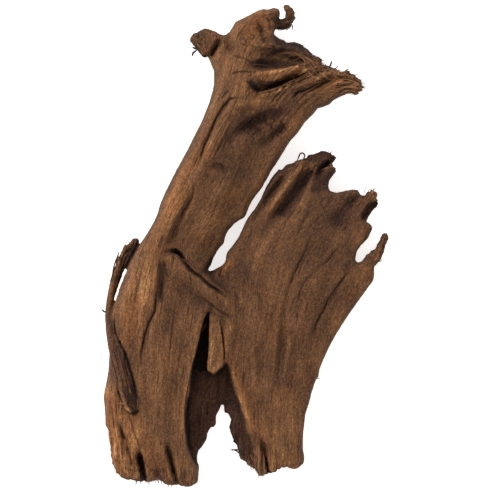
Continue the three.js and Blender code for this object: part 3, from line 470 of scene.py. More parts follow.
def covered(points, outline, edge):
    """Which points lie in or near the outline, and how fully, from 0 to 1 over the width of its edge."""
    ring = on_sheet(outline)
    low, high = ring.min(0) - edge, ring.max(0) + edge
    picked = np.nonzero(np.all((points[:, :2] > low) & (points[:, :2] < high), axis=1))[0]
    x, y = points[picked, 0], points[picked, 1]
    inside = np.zeros(len(picked), dtype=bool)
    for (ax, ay), (bx, by) in zip(ring, np.roll(ring, -1, axis=0)):
        if ay != by:
            inside ^= ((ay > y) != (by > y)) & (x < (bx - ax) * (y - ay) / (by - ay) + ax)
    to_edge = np.full(len(points), edge)
    near, gap, _ = near_stroke(points, outline + outline[:1], edge)
    to_edge[near] = gap
    return picked, np.clip(0.5 + np.where(inside, 1, -1) * to_edge[picked] / edge, 0, 1)


points = points_of(body.data)
print("the splinter's tip takes in", len(near_stroke(points, SPLINTER_TIP, MM)[0]), "points")

# %% Level, raise and lower
LEVEL_EDGE = 1.2  # width in squares of a levelled place's edge
PAST_ENDS = 0.3  # the line between the two heights goes on this far past them


def height_at(x, y, side=1):
    """The skin's height from above, or from below with side -1; None beside it."""
    hit, where, _, _ = body.ray_cast((x, y, side * 0.2), (0, 0, -side))
    return where.z if hit else None


bpy.context.view_layer.update()
faces_up = points_of(body.data, "normal")[:, 2]
up = np.clip(faces_up * 1.5, 0, 1)  # fades out where the skin turns steep
on_top = np.clip(faces_up * 4 + 0.6, 0, 1)  # takes in the steep sides as well
untouched = points[:, 2].copy()
for outline, first, second, abrupt in LEVELLED:
    a, b = on_sheet([first, second])
    picked, share = covered(points, outline, LEVEL_EDGE * SQUARE)
    run = (points[picked, :2] - a) @ (b - a) / ((b - a) @ (b - a))  # 0 at the first place and 1 at the second
    share *= np.clip(np.minimum(run - run.min(), run.max() - run) * abrupt, 0, 1)
    flat = height_at(*a) + np.clip(run, -PAST_ENDS, 1 + PAST_ENDS) * (height_at(*b) - height_at(*a))
    points[picked, 2] += np.maximum(flat - points[picked, 2], 0) * share * on_top[picked]
for outline, edge, lift, *_ in PLACES:
    picked, share = covered(points, outline, edge * SQUARE)
    points[picked, 2] += lift * MM * share * up[picked]
moved = 1000 * (points[:, 2] - untouched)
print("moved from", round(moved.min(), 1), "to", round(moved.max(), 1), "mm")

# %% [markdown]
# ## Cracks
# Root wood dries from the outside and splits along the grain. Each crack is a drawn stroke that
# presses a V into the skin and runs out at both ends. A boolean cut would leave straight walls; moving the
# points keeps the skin whole.

# %% Crack strokes: points, half width and depth in millimetres
CRACKS = rows_of(
    # trunk
    """
    247,101.5 238,99.5 230,100.5 223,109 217.5,117 211,133 204.5,148 200,163 197,171: 0.8 2.2;
    230,91.5 225,96 222,101: 0.8 1.5; 194,180 193,198 189,204 184,211 181,219: 0.8 1.3;
    209,171 214,164 221,165 225,172: 0.9 1.2; 271,121 272,132 273,143: 0.8 1.2;
    226,120 217,137 208,155: 0.7 0.9; 233,122 224,140 214,158: 0.7 0.9;
    """,
    # crown
    """
    231,76 240,73.5 253,74: 0.9 1.8;
    262,93.2 272,93 281,89.5 289,86 296,83.3 304,79 311,74 318,68.5: 0.9 2.2;
    289,88 297,84.5 304,80.5 311,77 318,73 325,69.5: 0.8 2;
    291,98 297,94.5 302,91.5 309,87.5 317,82.5 323,78.5 330,75.5: 1 2.4;
    300,99 309,93 318,88 327,82 334,78: 0.8 1.6; 218,44 215,51 212,58: 1.6 2.6;
    270,54.5 280,52.5 291,51 302,55: 0.8 1.6; 286,57 293,59 300,60 306,65: 1 2;
    232,57 243,60 254,66: 0.9 1.2; 338,74 346,73 353,76: 0.8 1.4; 336,88 345,86 352,85: 0.8 1.2;
    342,82 350,79 357,80: 0.8 1.4; 252,117 262,121 270,119.5 280,123: 0.7 0.9;
    262,112 266,120 264,130: 0.7 0.9; 276,117 283,125 287,134: 0.7 0.9; 245,122 254,127 261,134: 0.7 0.9;
    267,130 276,135 284,141: 0.7 0.9; 238,128 249,135 256,142: 0.7 0.8;
    238,134 247,124 257,116 266,112: 0.6 1.2; 244,137 252,128 262,121: 0.55 1.1;
    248,140 258,131 268,125 279,119: 0.6 1.1; 231,137 238,128 247,119: 0.55 1;
    268,137 277,130 286,122: 0.6 1; 258,143 264,136 266,128: 0.55 0.9; 256,24 262,30 260,37 265,43: 0.9 1;
    248,33 254,38 252,44: 0.9 0.9; 266,18 270,26 269,34: 0.9 1.4; 240,46 250,47 258,51: 0.8 1.3;
    243,38 247,46 244,56: 0.8 1.3; 262,42 268,47 276,49: 0.9 1.6;
    """,
    # knot, groove over the cross ridge, crack under it
    """
    169,255 173,251 177,250.5 181,254.5 185,261 190.5,268.5 196,273.5 201,276 205.5,281 210,285
      217.5,289.5 223.5,293.5 229,298: 1.8 5;
    213,256 208.5,264 206,271 209,274: 1.8 5; 222,267 220.5,272 219,278: 1 2.2;
    200,295.5 206,300 211,303.5 216,308 224,313 232,317: 1 1.8;
    """,
    # left leg
    """
    164.5,262 166.5,270 169,279: 1.4 1.6; 163,281 162.5,290 163,300: 1.8 1.4;
    158.8,289 156.5,299 156.5,310 153.5,315.5 150,322.5 147.3,329 145,338.5 143.5,348.5 142,360: 0.85 2.4;
    128.8,410 132,418.5 135,429 138,438 141,446 143,453: 0.8 1.6;
    127,444 129.5,450 131.5,458 132.5,466: 0.9 1.6; 126,464 127,471: 0.8 1.2;
    113,404 114.5,418 115.5,430: 0.7 1; 118,440 118.5,452 120,462: 0.7 1; 107.5,396 107,404: 0.7 1;
    134,456 135,465 135,474: 0.8 1.2; 150,465 153,471 158,476: 0.7 1; 119,470 121,477: 0.7 1;
    176,300 174,322 171,345 169,368: 0.8 0.9; 183,340 178,370 176,398: 0.8 0.8;
    """,
    # the side root where it lies on the leg, and its own furrows
    """
    115.4,308 115.4,322 117.3,332 120.4,339 125,348.5 128.8,358.5 132,370 135,380 137,390 139.5,400: 1.2
      3.2;
    110.8,348 113.5,360 116.5,370 118.8,377.7 120,388.5 121.5,394.5 124.5,401: 1.1 2.6;
    112,318 114,332 119,348 124,364 128.5,380 132,396: 0.7 0.9;
    113.5,344 118,358 122.5,374 126,388 129.5,400: 0.7 0.9; 123,350 127,364 131,378 134,392: 0.6 0.8;
    131,403 137,409 141,409: 1 1.6; 136,243 130,251 126,260 122,270: 0.8 1.8;
    131,245 124,256 119,268: 0.7 1.3;
    """,
    # splinter
    """
    220,318 222,330 223,337 223.8,344.6 224.3,353 224.3,363: 0.75 4;
    """,
    # plate
    """
    305,252 300.8,260.5 297,268.5 292.4,278 288,287: 0.55 1; 318,238 308,251 301,266 296,282: 0.5 0.8;
    304,225 300,230 295.5,236: 0.8 1.2; 339.5,246.5 333.8,252.3 328.5,260 320.5,266.5: 0.8 1.2;
    349.5,270 343,278.5 336.2,287 327.7,299.2 323.8,310 320,315.4 315.4,324.6 312,338: 0.85 1.8;
    310,274 303,283.8 300,290.8 296,304: 0.8 1; 310,210 304,220 297,231: 0.7 0.8;
    322,214 315,222: 0.7 0.8; 265.5,457 267,464 268,474: 1.1 4; 260.5,453 261.5,463 262.5,474: 0.8 2.6;
    250.5,418 251.5,428 252,434: 0.7 1; 236,384 239,394 243,404: 0.6 0.8;
    366,243 361,251 356,262: 1.2 1.8;
    """,
)
print("cracks:", len(CRACKS))

# %% Press the cracks into the skin
CRACK_REACH = 1.6  # times the half width
RUN_OUT = 6  # a crack is full from a sixth of its length on
# A crack's colour gets painted shade, fuller the deeper it is.
DEEP = 3  # a crack this many millimetres deep is fully dark, and a shallow one at least 0.45 of it
LEAST_WOOD = 1.5 * MM  # left over the underside, however deep a place or crack is drawn

lowered = np.zeros(len(points))
crack = np.zeros(len(points))
for path, half_width, depth in CRACKS:
    picked, gap, place = near_stroke(points, path, CRACK_REACH * half_width * MM)
    ends = np.clip(np.minimum(place, 1 - place) * RUN_OUT, 0, 1)
    wedge = np.clip(1 - gap / (half_width * MM), 0, 1) ** 1.2
    lowered[picked] = np.maximum(lowered[picked], depth * MM * ends * wedge * up[picked])
    dark = np.clip(1.25 - gap / (half_width * MM), 0, 1) * np.clip(depth / DEEP, 0.45, 1)
    crack[picked] = np.maximum(crack[picked], dark * ends * up[picked])
points[:, 2] -= lowered
for i in np.nonzero(points[:, 2] < untouched - 0.1 * MM)[0]:
    least = (height_at(points[i, 0], points[i, 1], -1) or 0) + LEAST_WOOD
    points[i, 2] = max(points[i, 2], min(untouched[i], least))
move_points(body.data, points)
normals = points_of(body.data, "normal")
print("deepest crack:", round(1000 * lowered.max(), 1), "mm")

# %% [markdown]
# ## What the finish needs to know about each place
# Hollows are darkened with painted shade and bumps lightened with painted light, ridges are rubbed pale, and
# some places are ragged while others are worn smooth. These are measured once on the skin and stored as
# attributes, so the relief and the colour can both read them.

# %% Height over the surroundings
HOLLOW_STEP = 1.5 * MM
REACHES = ((3 * MM, 2.2 * MM), (9 * MM, 9 * MM))  # how far to look, and how deep counts as a full hollow
FACING = 0.15  # a place counts for the height around it when it faces up or down by at least this much
FADE = 1.6  # hollows fade out where the skin turns steep


def blurred(grid, rounds):
    for _ in range(rounds):
        padded = np.pad(grid, 1, mode="edge")
        grid = (padded[:-2, 1:-1] + padded[2:, 1:-1] + padded[1:-1, :-2] + padded[1:-1, 2:]) / 8 + grid / 2
    return grid


def surroundings(points, weights, step, reach):
    """The blurred height of the top over a grid, read back at each point."""
    low = points[:, :2].min(0) - 3 * reach
    cells = ((points[:, :2] - low) / step).astype(int)
    shape = tuple(cells.max(0) + int(3 * reach / step) + 2)
    flat = np.ravel_multi_index(cells.T, shape)
    total = np.bincount(flat, points[:, 2] * weights, np.prod(shape)).reshape(shape)
    share = np.bincount(flat, weights, np.prod(shape)).reshape(shape)
    height = total / np.maximum(share, 1e-9)
    known = (share > 0).astype(float)
    rounds = int((reach / step) ** 2 * 2)
    level = blurred(height * known, rounds) / np.maximum(blurred(known, rounds), 1e-6)
    return level.ravel()[flat]


hollow = np.zeros(len(points))
for side in (1, -1):
    seen = (side * normals[:, 2] > FACING).astype(float)
    depth = 0
    for reach, full in REACHES:
        over = side * (points[:, 2] - surroundings(points, seen, HOLLOW_STEP, reach))
        depth += np.clip(-over / full, -1, 1) * 0.5
    hollow += depth * np.clip(FADE * side * normals[:, 2], 0, 1)
print("hollow from", round(hollow.min(), 2), "to", round(hollow.max(), 2))

# %% Tones and rough places, drawn as soft strokes: points, half width in squares, strength
TONES = rows_of(
    # painted shade: hollows of trunk and crown, flutes and pocket of the plate
    """
    276,50 298,48 316,58: 6 -0.5; 343,212 352,204 366,200: 10 -0.25; 280,335 279,360 277,382: 5 -0.3;
    275,90 262,95 252,88: 5 -0.3; 331,154 320,152 306,158: 4 -0.4; 385,236 380,250 370,262: 4 -0.3;
    318,106 330,100 345,94: 4 -0.25; 290,18 288,24 280,25: 6 -0.5;
    """,
    # dark: side root, knot, bands of the leg, darker in themselves; painted shade on the flanks and hollow
    """
    125,246 119,262 116,280: 6 -0.25; 170,254 180,256 188,266: 3 -0.5; 166,264 164,280 163,300: 4 -0.55;
    212,262 206,270: 5 -0.6; 221,272 225,268 230,262: 2.5 0.7; 262,138 240,155 226,178: 11 -0.3;
    192,296 204,306: 9 -0.25; 340,200 318,240 300,290: 34 -0.22; 240,268 250,284: 9 -0.4;
    240,380 262,405: 10 -0.2;
    """,
    # pale, partly own colour, partly painted light: leg's left edge and end, crest, shoulder, tip, lobe, lit
    # edges
    """
    109,390 110,420 116,455 124,474: 9 0.85; 128,412 132,432 138,450: 7 0.7; 150,430 156,445: 7 0.15;
    150,262 142,290 134,318: 12 0.5; 196,158 180,190 163,222 150,246: 9 0.38;
    214,84 210,105 200,128: 6 0.2; 228,112 218,130 208,150: 6 0.12; 240,103 262,104 282,104: 5 0.25;
    352,82 340,82 326,86: 5 0.3; 250,36 262,24 270,18: 8 0.15; 196,36 208,40: 10 -0.45;
    232,64 236,80 240,94: 8 0.2; 264,292 264,306 268,322: 12 0.22;
    228,366 238,395 246,424 256,450: 2.5 0.5; 268,430 274,450 270,468: 7 0.35; 294,430 290,455: 8 0.15;
    214,320 213,345 212,368: 3.5 0.2; 360,283 346,306 332,330: 4 0.15; 264,97 284,90 308,76: 2 0.6;
    300,100 320,92 336,84: 2 0.45; 118,284 113,300: 4 0.4; 281,195 272,206 262,218: 3 0.05;
    300,162 290,180 278,200: 2.5 0.15; 320,171 331,167: 1.4 0.8; 148,282 149,304 146,324: 9 0.45;
    160,350 160,392 158,430: 14 0.3; 132,436 136,452: 7 0.4; 226,186 212,212 202,236: 13 0.45;
    288,405 289,432 288,460: 12 0.45; 276,282 274,312 276,340: 13 0.2; 304,282 296,320: 14 0.2;
    344,80 356,86: 7 0.3; 242,396 247,414 252,428: 3.5 0.5; 108,250 118,244: 4 -0.2;
    """,
)
# Below 0 the grey-violet is partly dirt and partly the colour of painted shade in the hollows.
WARMTHS = rows_of(  # fresh orange wood above 0, grey-violet dirt below
    """
    110,392 112,430 124,470: 12 0.45; 134,425 146,455 158,478: 10 0.35; 330,86 345,84 358,84: 9 0.5;
    262,20 252,34: 10 0.45; 222,270 228,264: 5 1; 116,275 112,305: 7 0.6; 196,158 172,205 150,250: 9 0.3;
    131,400 120,402: 4 0.6; 230,360 244,400 256,440: 7 0.4; 268,440 280,462: 10 0.3;
    303,165 290,184: 4 0.5; 140,300 132,340 128,372: 9 0.3; 345,305 362,282: 6 0.3;
    262,290 270,330: 12 0.2; 246,130 262,120 280,114: 10 -0.9; 318,160 334,190 360,204: 12 -0.6;
    344,214 330,222: 10 -0.5; 164,268 163,298: 4 -0.7; 276,50 300,50 318,60: 6 -0.7;
    292,12 290,24 280,26: 7 -0.6; 250,316 256,326 262,340: 9 -0.3; 262,220 252,245 240,262: 8 -0.3;
    """,
)
RAGGED = rows_of(
    """
    296,80 318,78 356,84: 15 0.9; 250,88 270,92 290,90: 10 0.4; 262,50 290,54 318,62: 10 0.6;
    288,14 288,24 278,26: 8 1; 330,162 316,164 300,166: 12 1; 378,196 366,206 350,200: 10 1;
    386,238 374,258 366,248: 8 0.9; 134,242 121,258 114,285: 7 1; 112,310 121,345 134,400: 5 0.8;
    112,440 122,470 146,474 178,478: 14 0.7; 258,450 268,468 290,465: 10 0.7; 203,430 206,400: 8 0.8;
    236,440 250,462: 8 0.9; 196,36 206,48: 10 0.5; 258,122 280,124: 12 0.7; 212,362 212,374: 4 0.6;
    226,120 214,142 206,160: 8 0.55; 264,92 282,98 304,102: 9 0.6; 176,256 166,268: 7 0.6;
    196,164 172,214: 8 0.35;
    """,
)
FRAYED = rows_of(  # where fibres have sprung loose
    """
    316,72 336,77 357,84: 8 1; 298,82 318,74: 6 0.35; 291,14 290,24 281,26: 4 0.7; 300,48 318,60: 3 0.6;
    334,158 318,151: 3 0.4; 376,194 367,192: 3 0.5; 386,238 376,258: 4 0.4; 126,246 117,262: 4 0.6;
    128,384 134,404: 5 0.6; 112,462 124,477 146,480 176,483: 3 0.28; 256,458 262,474: 5 0.6;
    240,452 252,466: 4 0.6; 198,42 202,54: 4 0.4; 203,436 208,428: 2 0.4;
    """,
)
print("soft strokes:", len(TONES + WARMTHS + RAGGED + FRAYED))

# %% Read the strokes and the outlines at each point
STROKE_REACH = 2.2  # a stroke has faded out at this many half widths


def strokes_at(points, strokes):
    """The strokes' strengths summed up, each one fading out smoothly to its sides and ends."""
    total = np.zeros(len(points))
    for path, half_width, strength in strokes:
        picked, gap, _ = near_stroke(points, path, STROKE_REACH * half_width * SQUARE)
        total[picked] += strength * np.exp(-(gap / (half_width * SQUARE)) ** 2)
    return total


tone, warmth = strokes_at(points, TONES), strokes_at(points, WARMTHS)
# Each outline's tone and warmth go into the colour, and its last column adds painted shade to the crevice
# layer.
for outline, edge, _, place_tone, place_warmth, painted_shade in PLACES:
    picked, share = covered(points, outline, edge * SQUARE)
    share *= on_top[picked]
    tone[picked] += place_tone * share
    warmth[picked] += place_warmth * share
    crack[picked] = np.maximum(crack[picked], painted_shade * share)
tone, warmth = np.clip(tone, -1, 1), np.clip(warmth, -1, 1)
ragged = np.clip(strokes_at(points, RAGGED), 0, 1)
frayed = np.clip(strokes_at(points, FRAYED), 0, 1)
print("ragged:", round(100 * np.mean(ragged > 0.5)), "% of the points")

# %% Store the attributes
x, y = points[:, 0], points[:, 1]
grain = np.stack([from_grid(across, x, y), from_grid(along, x, y), points[:, 2]], axis=1) / MM
flow_at = np.stack([from_grid(flow[..., 0], x, y), from_grid(flow[..., 1], x, y), np.zeros(len(x))], axis=1)


def store(mesh, name, values):
    """Keeps one number or one vector for each point under a name."""
    vector = values.ndim == 2
    layer = mesh.attributes.new(name, "FLOAT_VECTOR" if vector else "FLOAT", "POINT")
    layer.data.foreach_set("vector" if vector else "value", values.astype(np.float32).ravel())


LAYERS = {
    "grain": grain, "flow": flow_at, "crack": crack, "hollow": hollow, "tone": tone, "warmth": warmth,
    "ragged": ragged, "frayed": frayed,
}
for name, values in LAYERS.items():
    store(body.data, name, values)
print("stored:", ", ".join(LAYERS))

# %% [markdown]
# ## Weathered root wood
# Dry soft-rotted root wood is matt and felt-like: short broken fibres cover it, and dark dirt sits between
# them. Only torn and rubbed places show long fibres. Its gloss is almost nil, so the roughness is near 0.9
# and the specular weak. The patterns are noise stretched along the grain in millimetres. A real fibre is
# 0.1 mm thick, which is far below a pixel here, so the finest patterns are drawn about 1 mm wide, the size
# of a small bundle.

# %% The wood's patterns
PATTERNS = {  # millimetres across, along and in height; detail, roughness and a shift that sets them apart
    "felt": ((1.1, 3.2, 1.7), 3.0, 0.7, 5.3), "grit": ((0.8, 1.2, 1.0), 1.0, 0.5, 2.2),
    "fibre": ((1.2, 26.0, 3.0), 3.0, 0.6, 3.1), "check": ((1.4, 17.0, 4.0), 2.0, 0.5, 4.4),
    "streak": ((4.5, 70.0, 12.0), 2.0, 0.5, 7.7), "blotch": ((15.0, 26.0, 15.0), 3.0, 0.55, 1.3),
    "hue": ((15.0, 26.0, 15.0), 3.0, 0.6, 9.1),
}
MATH, VECTORS = "ShaderNodeMath", "ShaderNodeVectorMath"


def add(tree, kind, inputs=None, **settings):
    """Adds a node, sets its properties, and fills or links its inputs. A node stands for its first output."""
    node = tree.nodes.new(kind)
    for name, value in settings.items():
        setattr(node, name, value)
    for socket, value in (inputs or {}).items():
        if isinstance(value, bpy.types.Node):
            value = value.outputs[0]
        if isinstance(value, bpy.types.NodeSocket):
            tree.links.new(value, node.inputs[socket])
        else:
            node.inputs[socket].default_value = value
    return node


wood, tree, shader = new_material("weathered_root_wood")
stored = {}
for name in ("tone", "warmth", "hollow", "crack", "ragged", "ridge"):
    stored[name] = add(tree, "ShaderNodeAttribute", attribute_name=name).outputs["Fac"]
grain_place = add(tree, "ShaderNodeAttribute", attribute_name="grain").outputs["Vector"]
pattern = {}
for name, (size, detail, roughness, shift) in PATTERNS.items():
    scaled = add(tree, "ShaderNodeMapping", {
        "Vector": grain_place, "Scale": [1 / s for s in size], "Location": (shift, 0, 0)})
    pattern[name] = add(tree, "ShaderNodeTexNoise", {
        "Vector": scaled, "Scale": 1.0, "Detail": detail, "Roughness": roughness})
print("patterns:", ", ".join(pattern))

# %% How light each spot is
BASE_LIGHT = 0.47
WOOD_TONES = [
    (0.0, "#1a110d"), (0.2, "#36251b"), (0.4, "#553a27"), (0.55, "#6e4b31"), (0.7, "#885e3c"),
    (0.85, "#a7784d"), (1.0, "#c5986a"),
]


def set_ramp(ramp, tones):
    """Gives a colour ramp these places and hex colours."""
    while len(ramp.color_ramp.elements) < len(tones):
        ramp.color_ramp.elements.new(0.5)
    for element, (at, colour) in zip(ramp.color_ramp.elements, tones):
        element.position = at
        element.color = linear(colour)


fibre_share = add(tree, MATH, {0: stored["ragged"], 1: 0.3}, operation="ADD")
pattern_shares = {"felt": 0.7, "grit": 0.55, "fibre": fibre_share, "streak": 0.28, "blotch": 0.42}
light = BASE_LIGHT
for name, share in pattern_shares.items():
    away = add(tree, MATH, {0: pattern[name], 1: 0.5}, operation="SUBTRACT")
    light = add(tree, MATH, {0: away, 1: share, 2: light}, operation="MULTIPLY_ADD")
grainy = add(tree, MATH, {0: pattern["fibre"], 1: pattern["streak"]}, operation="ADD")
patchy = add(tree, MATH, {0: grainy, 1: 1.4, 2: -0.4}, operation="MULTIPLY_ADD")  # 1 on average
toned = add(tree, MATH, {0: stored["tone"], 1: patchy}, operation="MULTIPLY")
rubbed = add(tree, MATH, {0: stored["ragged"], 1: 0.09, 2: 0.02}, operation="MULTIPLY_ADD")  # most if ragged
# the tones include painted shade and light; the hollow layer is painted shade in hollows and painted light on
# bumps
for source, share in ((toned, 0.27), (stored["hollow"], -0.20), (stored["ridge"], rubbed)):
    light = add(tree, MATH, {0: source, 1: share, 2: light}, operation="MULTIPLY_ADD")
ramp = add(tree, "ShaderNodeValToRGB", {"Fac": light})
set_ramp(ramp, WOOD_TONES)
print("tones:", len(WOOD_TONES))

# %% Warm and violet wood, then painted shade in the cracks
CHECK_START, CHECK_FULL = 0.63, 0.72  # only the peaks of the noise become small checks
HUE_SPREAD = 1.6  # how much the wood's warmth wanders by itself
away = add(tree, MATH, {0: pattern["hue"], 1: 0.5}, operation="SUBTRACT")
warm = add(tree, MATH, {0: away, 1: HUE_SPREAD, 2: stored["warmth"]}, operation="MULTIPLY_ADD")
small_check = add(tree, "ShaderNodeMapRange", {
    "Value": pattern["check"], "From Min": CHECK_START, "From Max": CHECK_FULL})
# The crevice layer is painted shade in cracks, slots and holes, and the small checks are painted shade in
# tiny cracks. Below 0 the warmth turns the wood grey-violet, partly dirt and partly the colour of painted
# shade.
COLOUR_LAYERS = (  # what sets its strength, how strong it gets, its colour, and how it is blended
    (warm, 0.75, "#ffd9b8", "MULTIPLY"), (warm, -0.8, "#e2d8ea", "MULTIPLY"),
    (stored["crack"], 0.85, "#1a110c", "MIX"), (small_check, 0.65, "#20150f", "MIX"),
)
colour = ramp
for source, share, layer, blend in COLOUR_LAYERS:
    strength = add(tree, MATH, {0: source, 1: share}, operation="MULTIPLY")
    colour = add(tree, "ShaderNodeMix", {0: strength, 6: colour, 7: linear(layer)}, data_type="RGBA",
                 blend_type=blend, clamp_factor=True).outputs[2]
tree.links.new(colour, shader.inputs["Base Color"])
print("colour layers:", len(COLOUR_LAYERS))

# %% Matt, with the same patterns as bump
BUMP_DEPTH = 1.1 * MM
shader.inputs["Roughness"].default_value = 0.92
shader.inputs["Specular IOR Level"].default_value = 0.2
long_share = add(tree, MATH, {0: fibre_share, 1: 1.5}, operation="MULTIPLY")
height = 0.0
for source, share in (
    (pattern["felt"], 0.55), (pattern["grit"], 0.35), (pattern["fibre"], long_share), (small_check, -0.5),
):
    height = add(tree, MATH, {0: source, 1: share, 2: height}, operation="MULTIPLY_ADD")
bump = add(tree, "ShaderNodeBump", {"Height": height, "Strength": 0.8, "Distance": BUMP_DEPTH})
tree.links.new(bump.outputs["Normal"], shader.inputs["Normal"])
print("wood nodes:", len(tree.nodes))

# %% [markdown]
# ## Fibrous relief
# The bundles between the cracks stand out as long low ridges, and torn places are shaggy. A node tree
# pushes the skin along its normal by the same stretched noise, higher where the wood is ragged.

# %% How a tree is made and run
def new_tree(name, inputs, material):
    """A geometry tree with named number inputs, its group input, and the node its geometry ends in."""
    group = bpy.data.node_groups.new(name, "GeometryNodeTree")
    group.interface.new_socket("Geometry", in_out="INPUT", socket_type="NodeSocketGeometry")
    for label in inputs:
        group.interface.new_socket(label, in_out="INPUT", socket_type="NodeSocketFloat")
    group.interface.new_socket("Geometry", in_out="OUTPUT", socket_type="NodeSocketGeometry")
    start = add(group, "NodeGroupInput")
    real = add(group, "GeometryNodeRealizeInstances")
    coat = add(group, "GeometryNodeSetMaterial", {"Geometry": real, "Material": material})
    add(group, "NodeGroupOutput", {0: coat})
    return group, start, real


def run_tree(thing, group, inputs):
    """Runs the tree on the thing with these inputs and returns the plain mesh."""
    modifier = thing.modifiers.new(group.name, "NODES")
    modifier.node_group = group
    for item in group.interface.items_tree:
        if item.in_out == "INPUT" and item.name in inputs:
            modifier[item.identifier] = inputs[item.name]
    made = baked(thing)
    thing.modifiers.remove(modifier)
    return made


# %% Relief tree
RELIEF_INPUTS = {
    "Ridge height": 0.35 * MM, "Ragged height": 2.4 * MM, "Ridge width": 2.7, "Ridge length": 30.0,
    "Crumble height": 0.35 * MM, "Ragged crumble": 1.5 * MM,
}
CRUMBS_PER_METRE = 330.0  # crumbs of about 3 mm
relief, start, end = new_tree("fibrous_relief", RELIEF_INPUTS, wood)
width, length = start.outputs["Ridge width"], start.outputs["Ridge length"]
deep = add(relief, MATH, {0: width, 1: 3.0}, operation="MULTIPLY")
cell = add(relief, "ShaderNodeCombineXYZ", {0: width, 1: length, 2: deep})
place = add(relief, "GeometryNodeInputNamedAttribute", {"Name": "grain"}, data_type="FLOAT_VECTOR")
scaled = add(relief, VECTORS, {0: place, 1: cell}, operation="DIVIDE")
ridges = add(relief, "ShaderNodeTexNoise", {"Vector": scaled, "Detail": 2.0, "Roughness": 0.6, "Scale": 1.0})
level = add(relief, MATH, {0: ridges, 1: 2.0, 2: -1.0}, operation="MULTIPLY_ADD")
torn = add(relief, "GeometryNodeInputNamedAttribute", {"Name": "ragged"}, data_type="FLOAT")
reach = add(relief, MATH, {0: torn, 1: start.outputs["Ragged height"], 2: start.outputs["Ridge height"]},
            operation="MULTIPLY_ADD")
crumbs = add(relief, "ShaderNodeTexNoise", {"Scale": CRUMBS_PER_METRE, "Detail": 2.0, "Roughness": 0.6})
crumbs = add(relief, MATH, {0: crumbs, 1: 2.0, 2: -1.0}, operation="MULTIPLY_ADD")
crumble = add(relief, MATH, {0: torn, 1: start.outputs["Ragged crumble"], 2: start.outputs["Crumble height"]},
              operation="MULTIPLY_ADD")
lift = add(relief, MATH, {0: level, 1: reach}, operation="MULTIPLY")
lift = add(relief, MATH, {0: crumbs, 1: crumble, 2: lift}, operation="MULTIPLY_ADD")
offset = add(relief, VECTORS, {0: add(relief, "GeometryNodeInputNormal"), "Scale": lift}, operation="SCALE")
moved = add(relief, "GeometryNodeSetPosition", {"Geometry": start.outputs["Geometry"], "Offset": offset})
noted = add(relief, "GeometryNodeStoreNamedAttribute", {"Geometry": moved, "Name": "ridge", "Value": level},
            data_type="FLOAT", domain="POINT")
relief.links.new(noted.outputs[0], end.inputs[0])
body.data = run_tree(body, relief, RELIEF_INPUTS)
keep_above_floor(body.data)
print("relief on", len(body.data.vertices), "points")

# %% Thin the skin out where it is flat, and let it stand for the solid
SKIN_FACES = 190000


def shade_smooth(mesh):
    mesh.polygons.foreach_set("use_smooth", np.ones(len(mesh.polygons), dtype=bool))


thin = body.modifiers.new("thin_flat_places", "DECIMATE")
thin.ratio = SKIN_FACES / (2 * len(body.data.polygons))
body.data = baked(body)
body.modifiers.clear()
body.data.name = "driftwood_body"
keep_above_floor(body.data)
shade_smooth(body.data)
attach(body, "root")
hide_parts("driftwood")
print("body:", sum(len(p.vertices) - 2 for p in body.data.polygons), "triangles")

# %% [markdown]
# ## Loose fibres
# Where the wood is torn, fibre bundles have sprung loose and lie over each other, roughly along the grain.
# A node tree scatters short tapered tubes on the ragged skin, turns them along the stored grain direction
# with some disorder, and then sways them all by one noise so that no two are bent alike.

# %% The fibres' material: the same wood, each fibre with its own tone
FIBRE_TONES = [(0.0, "#241812"), (0.45, "#5a3e2a"), (0.8, "#835c3e"), (1.0, "#a8815c")]
fibre_wood, tree, shader = new_material("loose_root_fibre")
own_tone = add(tree, "ShaderNodeAttribute", attribute_name="fibre_tone").outputs["Fac"]
ramp = add(tree, "ShaderNodeValToRGB", {"Fac": own_tone})
set_ramp(ramp, FIBRE_TONES)
tree.links.new(ramp.outputs["Color"], shader.inputs["Base Color"])
shader.inputs["Roughness"].default_value = 0.88
shader.inputs["Specular IOR Level"].default_value = 0.2
print("fibre tones:", len(FIBRE_TONES))

# %% Where the fibres stand and which way they lie
FIBRE_INPUTS = {
    "Fibres per square metre": 210000.0, "Shortest": 2.5 * MM, "Longest": 9.5 * MM, "Thickness": 0.5 * MM,
    "Disorder": 0.3, "Sway": 2.2 * MM,
}
LEAST_FRAYED = 0.12  # where the skin is frayed less than this it stays bare
scatter, start, end = new_tree("loose_fibres", FIBRE_INPUTS, fibre_wood)
lengths = (start.outputs["Shortest"], start.outputs["Longest"])
chance = []  # five random numbers for each fibre: two sideways, one up, its length and its tone
for seed, (low, high) in enumerate(((-1.0, 1.0), (-1.0, 1.0), (-0.3, 0.7), lengths, (0.05, 0.95)), 1):
    number = add(scatter, "FunctionNodeRandomValue", {2: low, 3: high, 8: seed}, data_type="FLOAT")
    chance.append(number.outputs[1])
frayed_here = add(scatter, "GeometryNodeInputNamedAttribute", {"Name": "frayed"}, data_type="FLOAT")
above = add(scatter, MATH, {0: frayed_here, 1: LEAST_FRAYED}, operation="SUBTRACT", use_clamp=True)
density = add(scatter, MATH, {0: above, 1: start.outputs["Fibres per square metre"]}, operation="MULTIPLY")
spread = add(scatter, "GeometryNodeDistributePointsOnFaces", {
    "Mesh": start.outputs["Geometry"], "Seed": 7, "Density": density}, distribute_method="RANDOM")
way = add(scatter, "GeometryNodeInputNamedAttribute", {"Name": "flow"}, data_type="FLOAT_VECTOR")
aside = add(scatter, "ShaderNodeCombineXYZ", {0: chance[0], 1: chance[1], 2: chance[2]})
much = add(scatter, "ShaderNodeCombineXYZ", {axis: start.outputs["Disorder"] for axis in range(3)})
grain_way = add(scatter, VECTORS, {0: aside, 1: much, 2: way}, operation="MULTIPLY_ADD")
turned = add(scatter, "FunctionNodeAlignRotationToVector", {"Vector": grain_way}, axis="X")
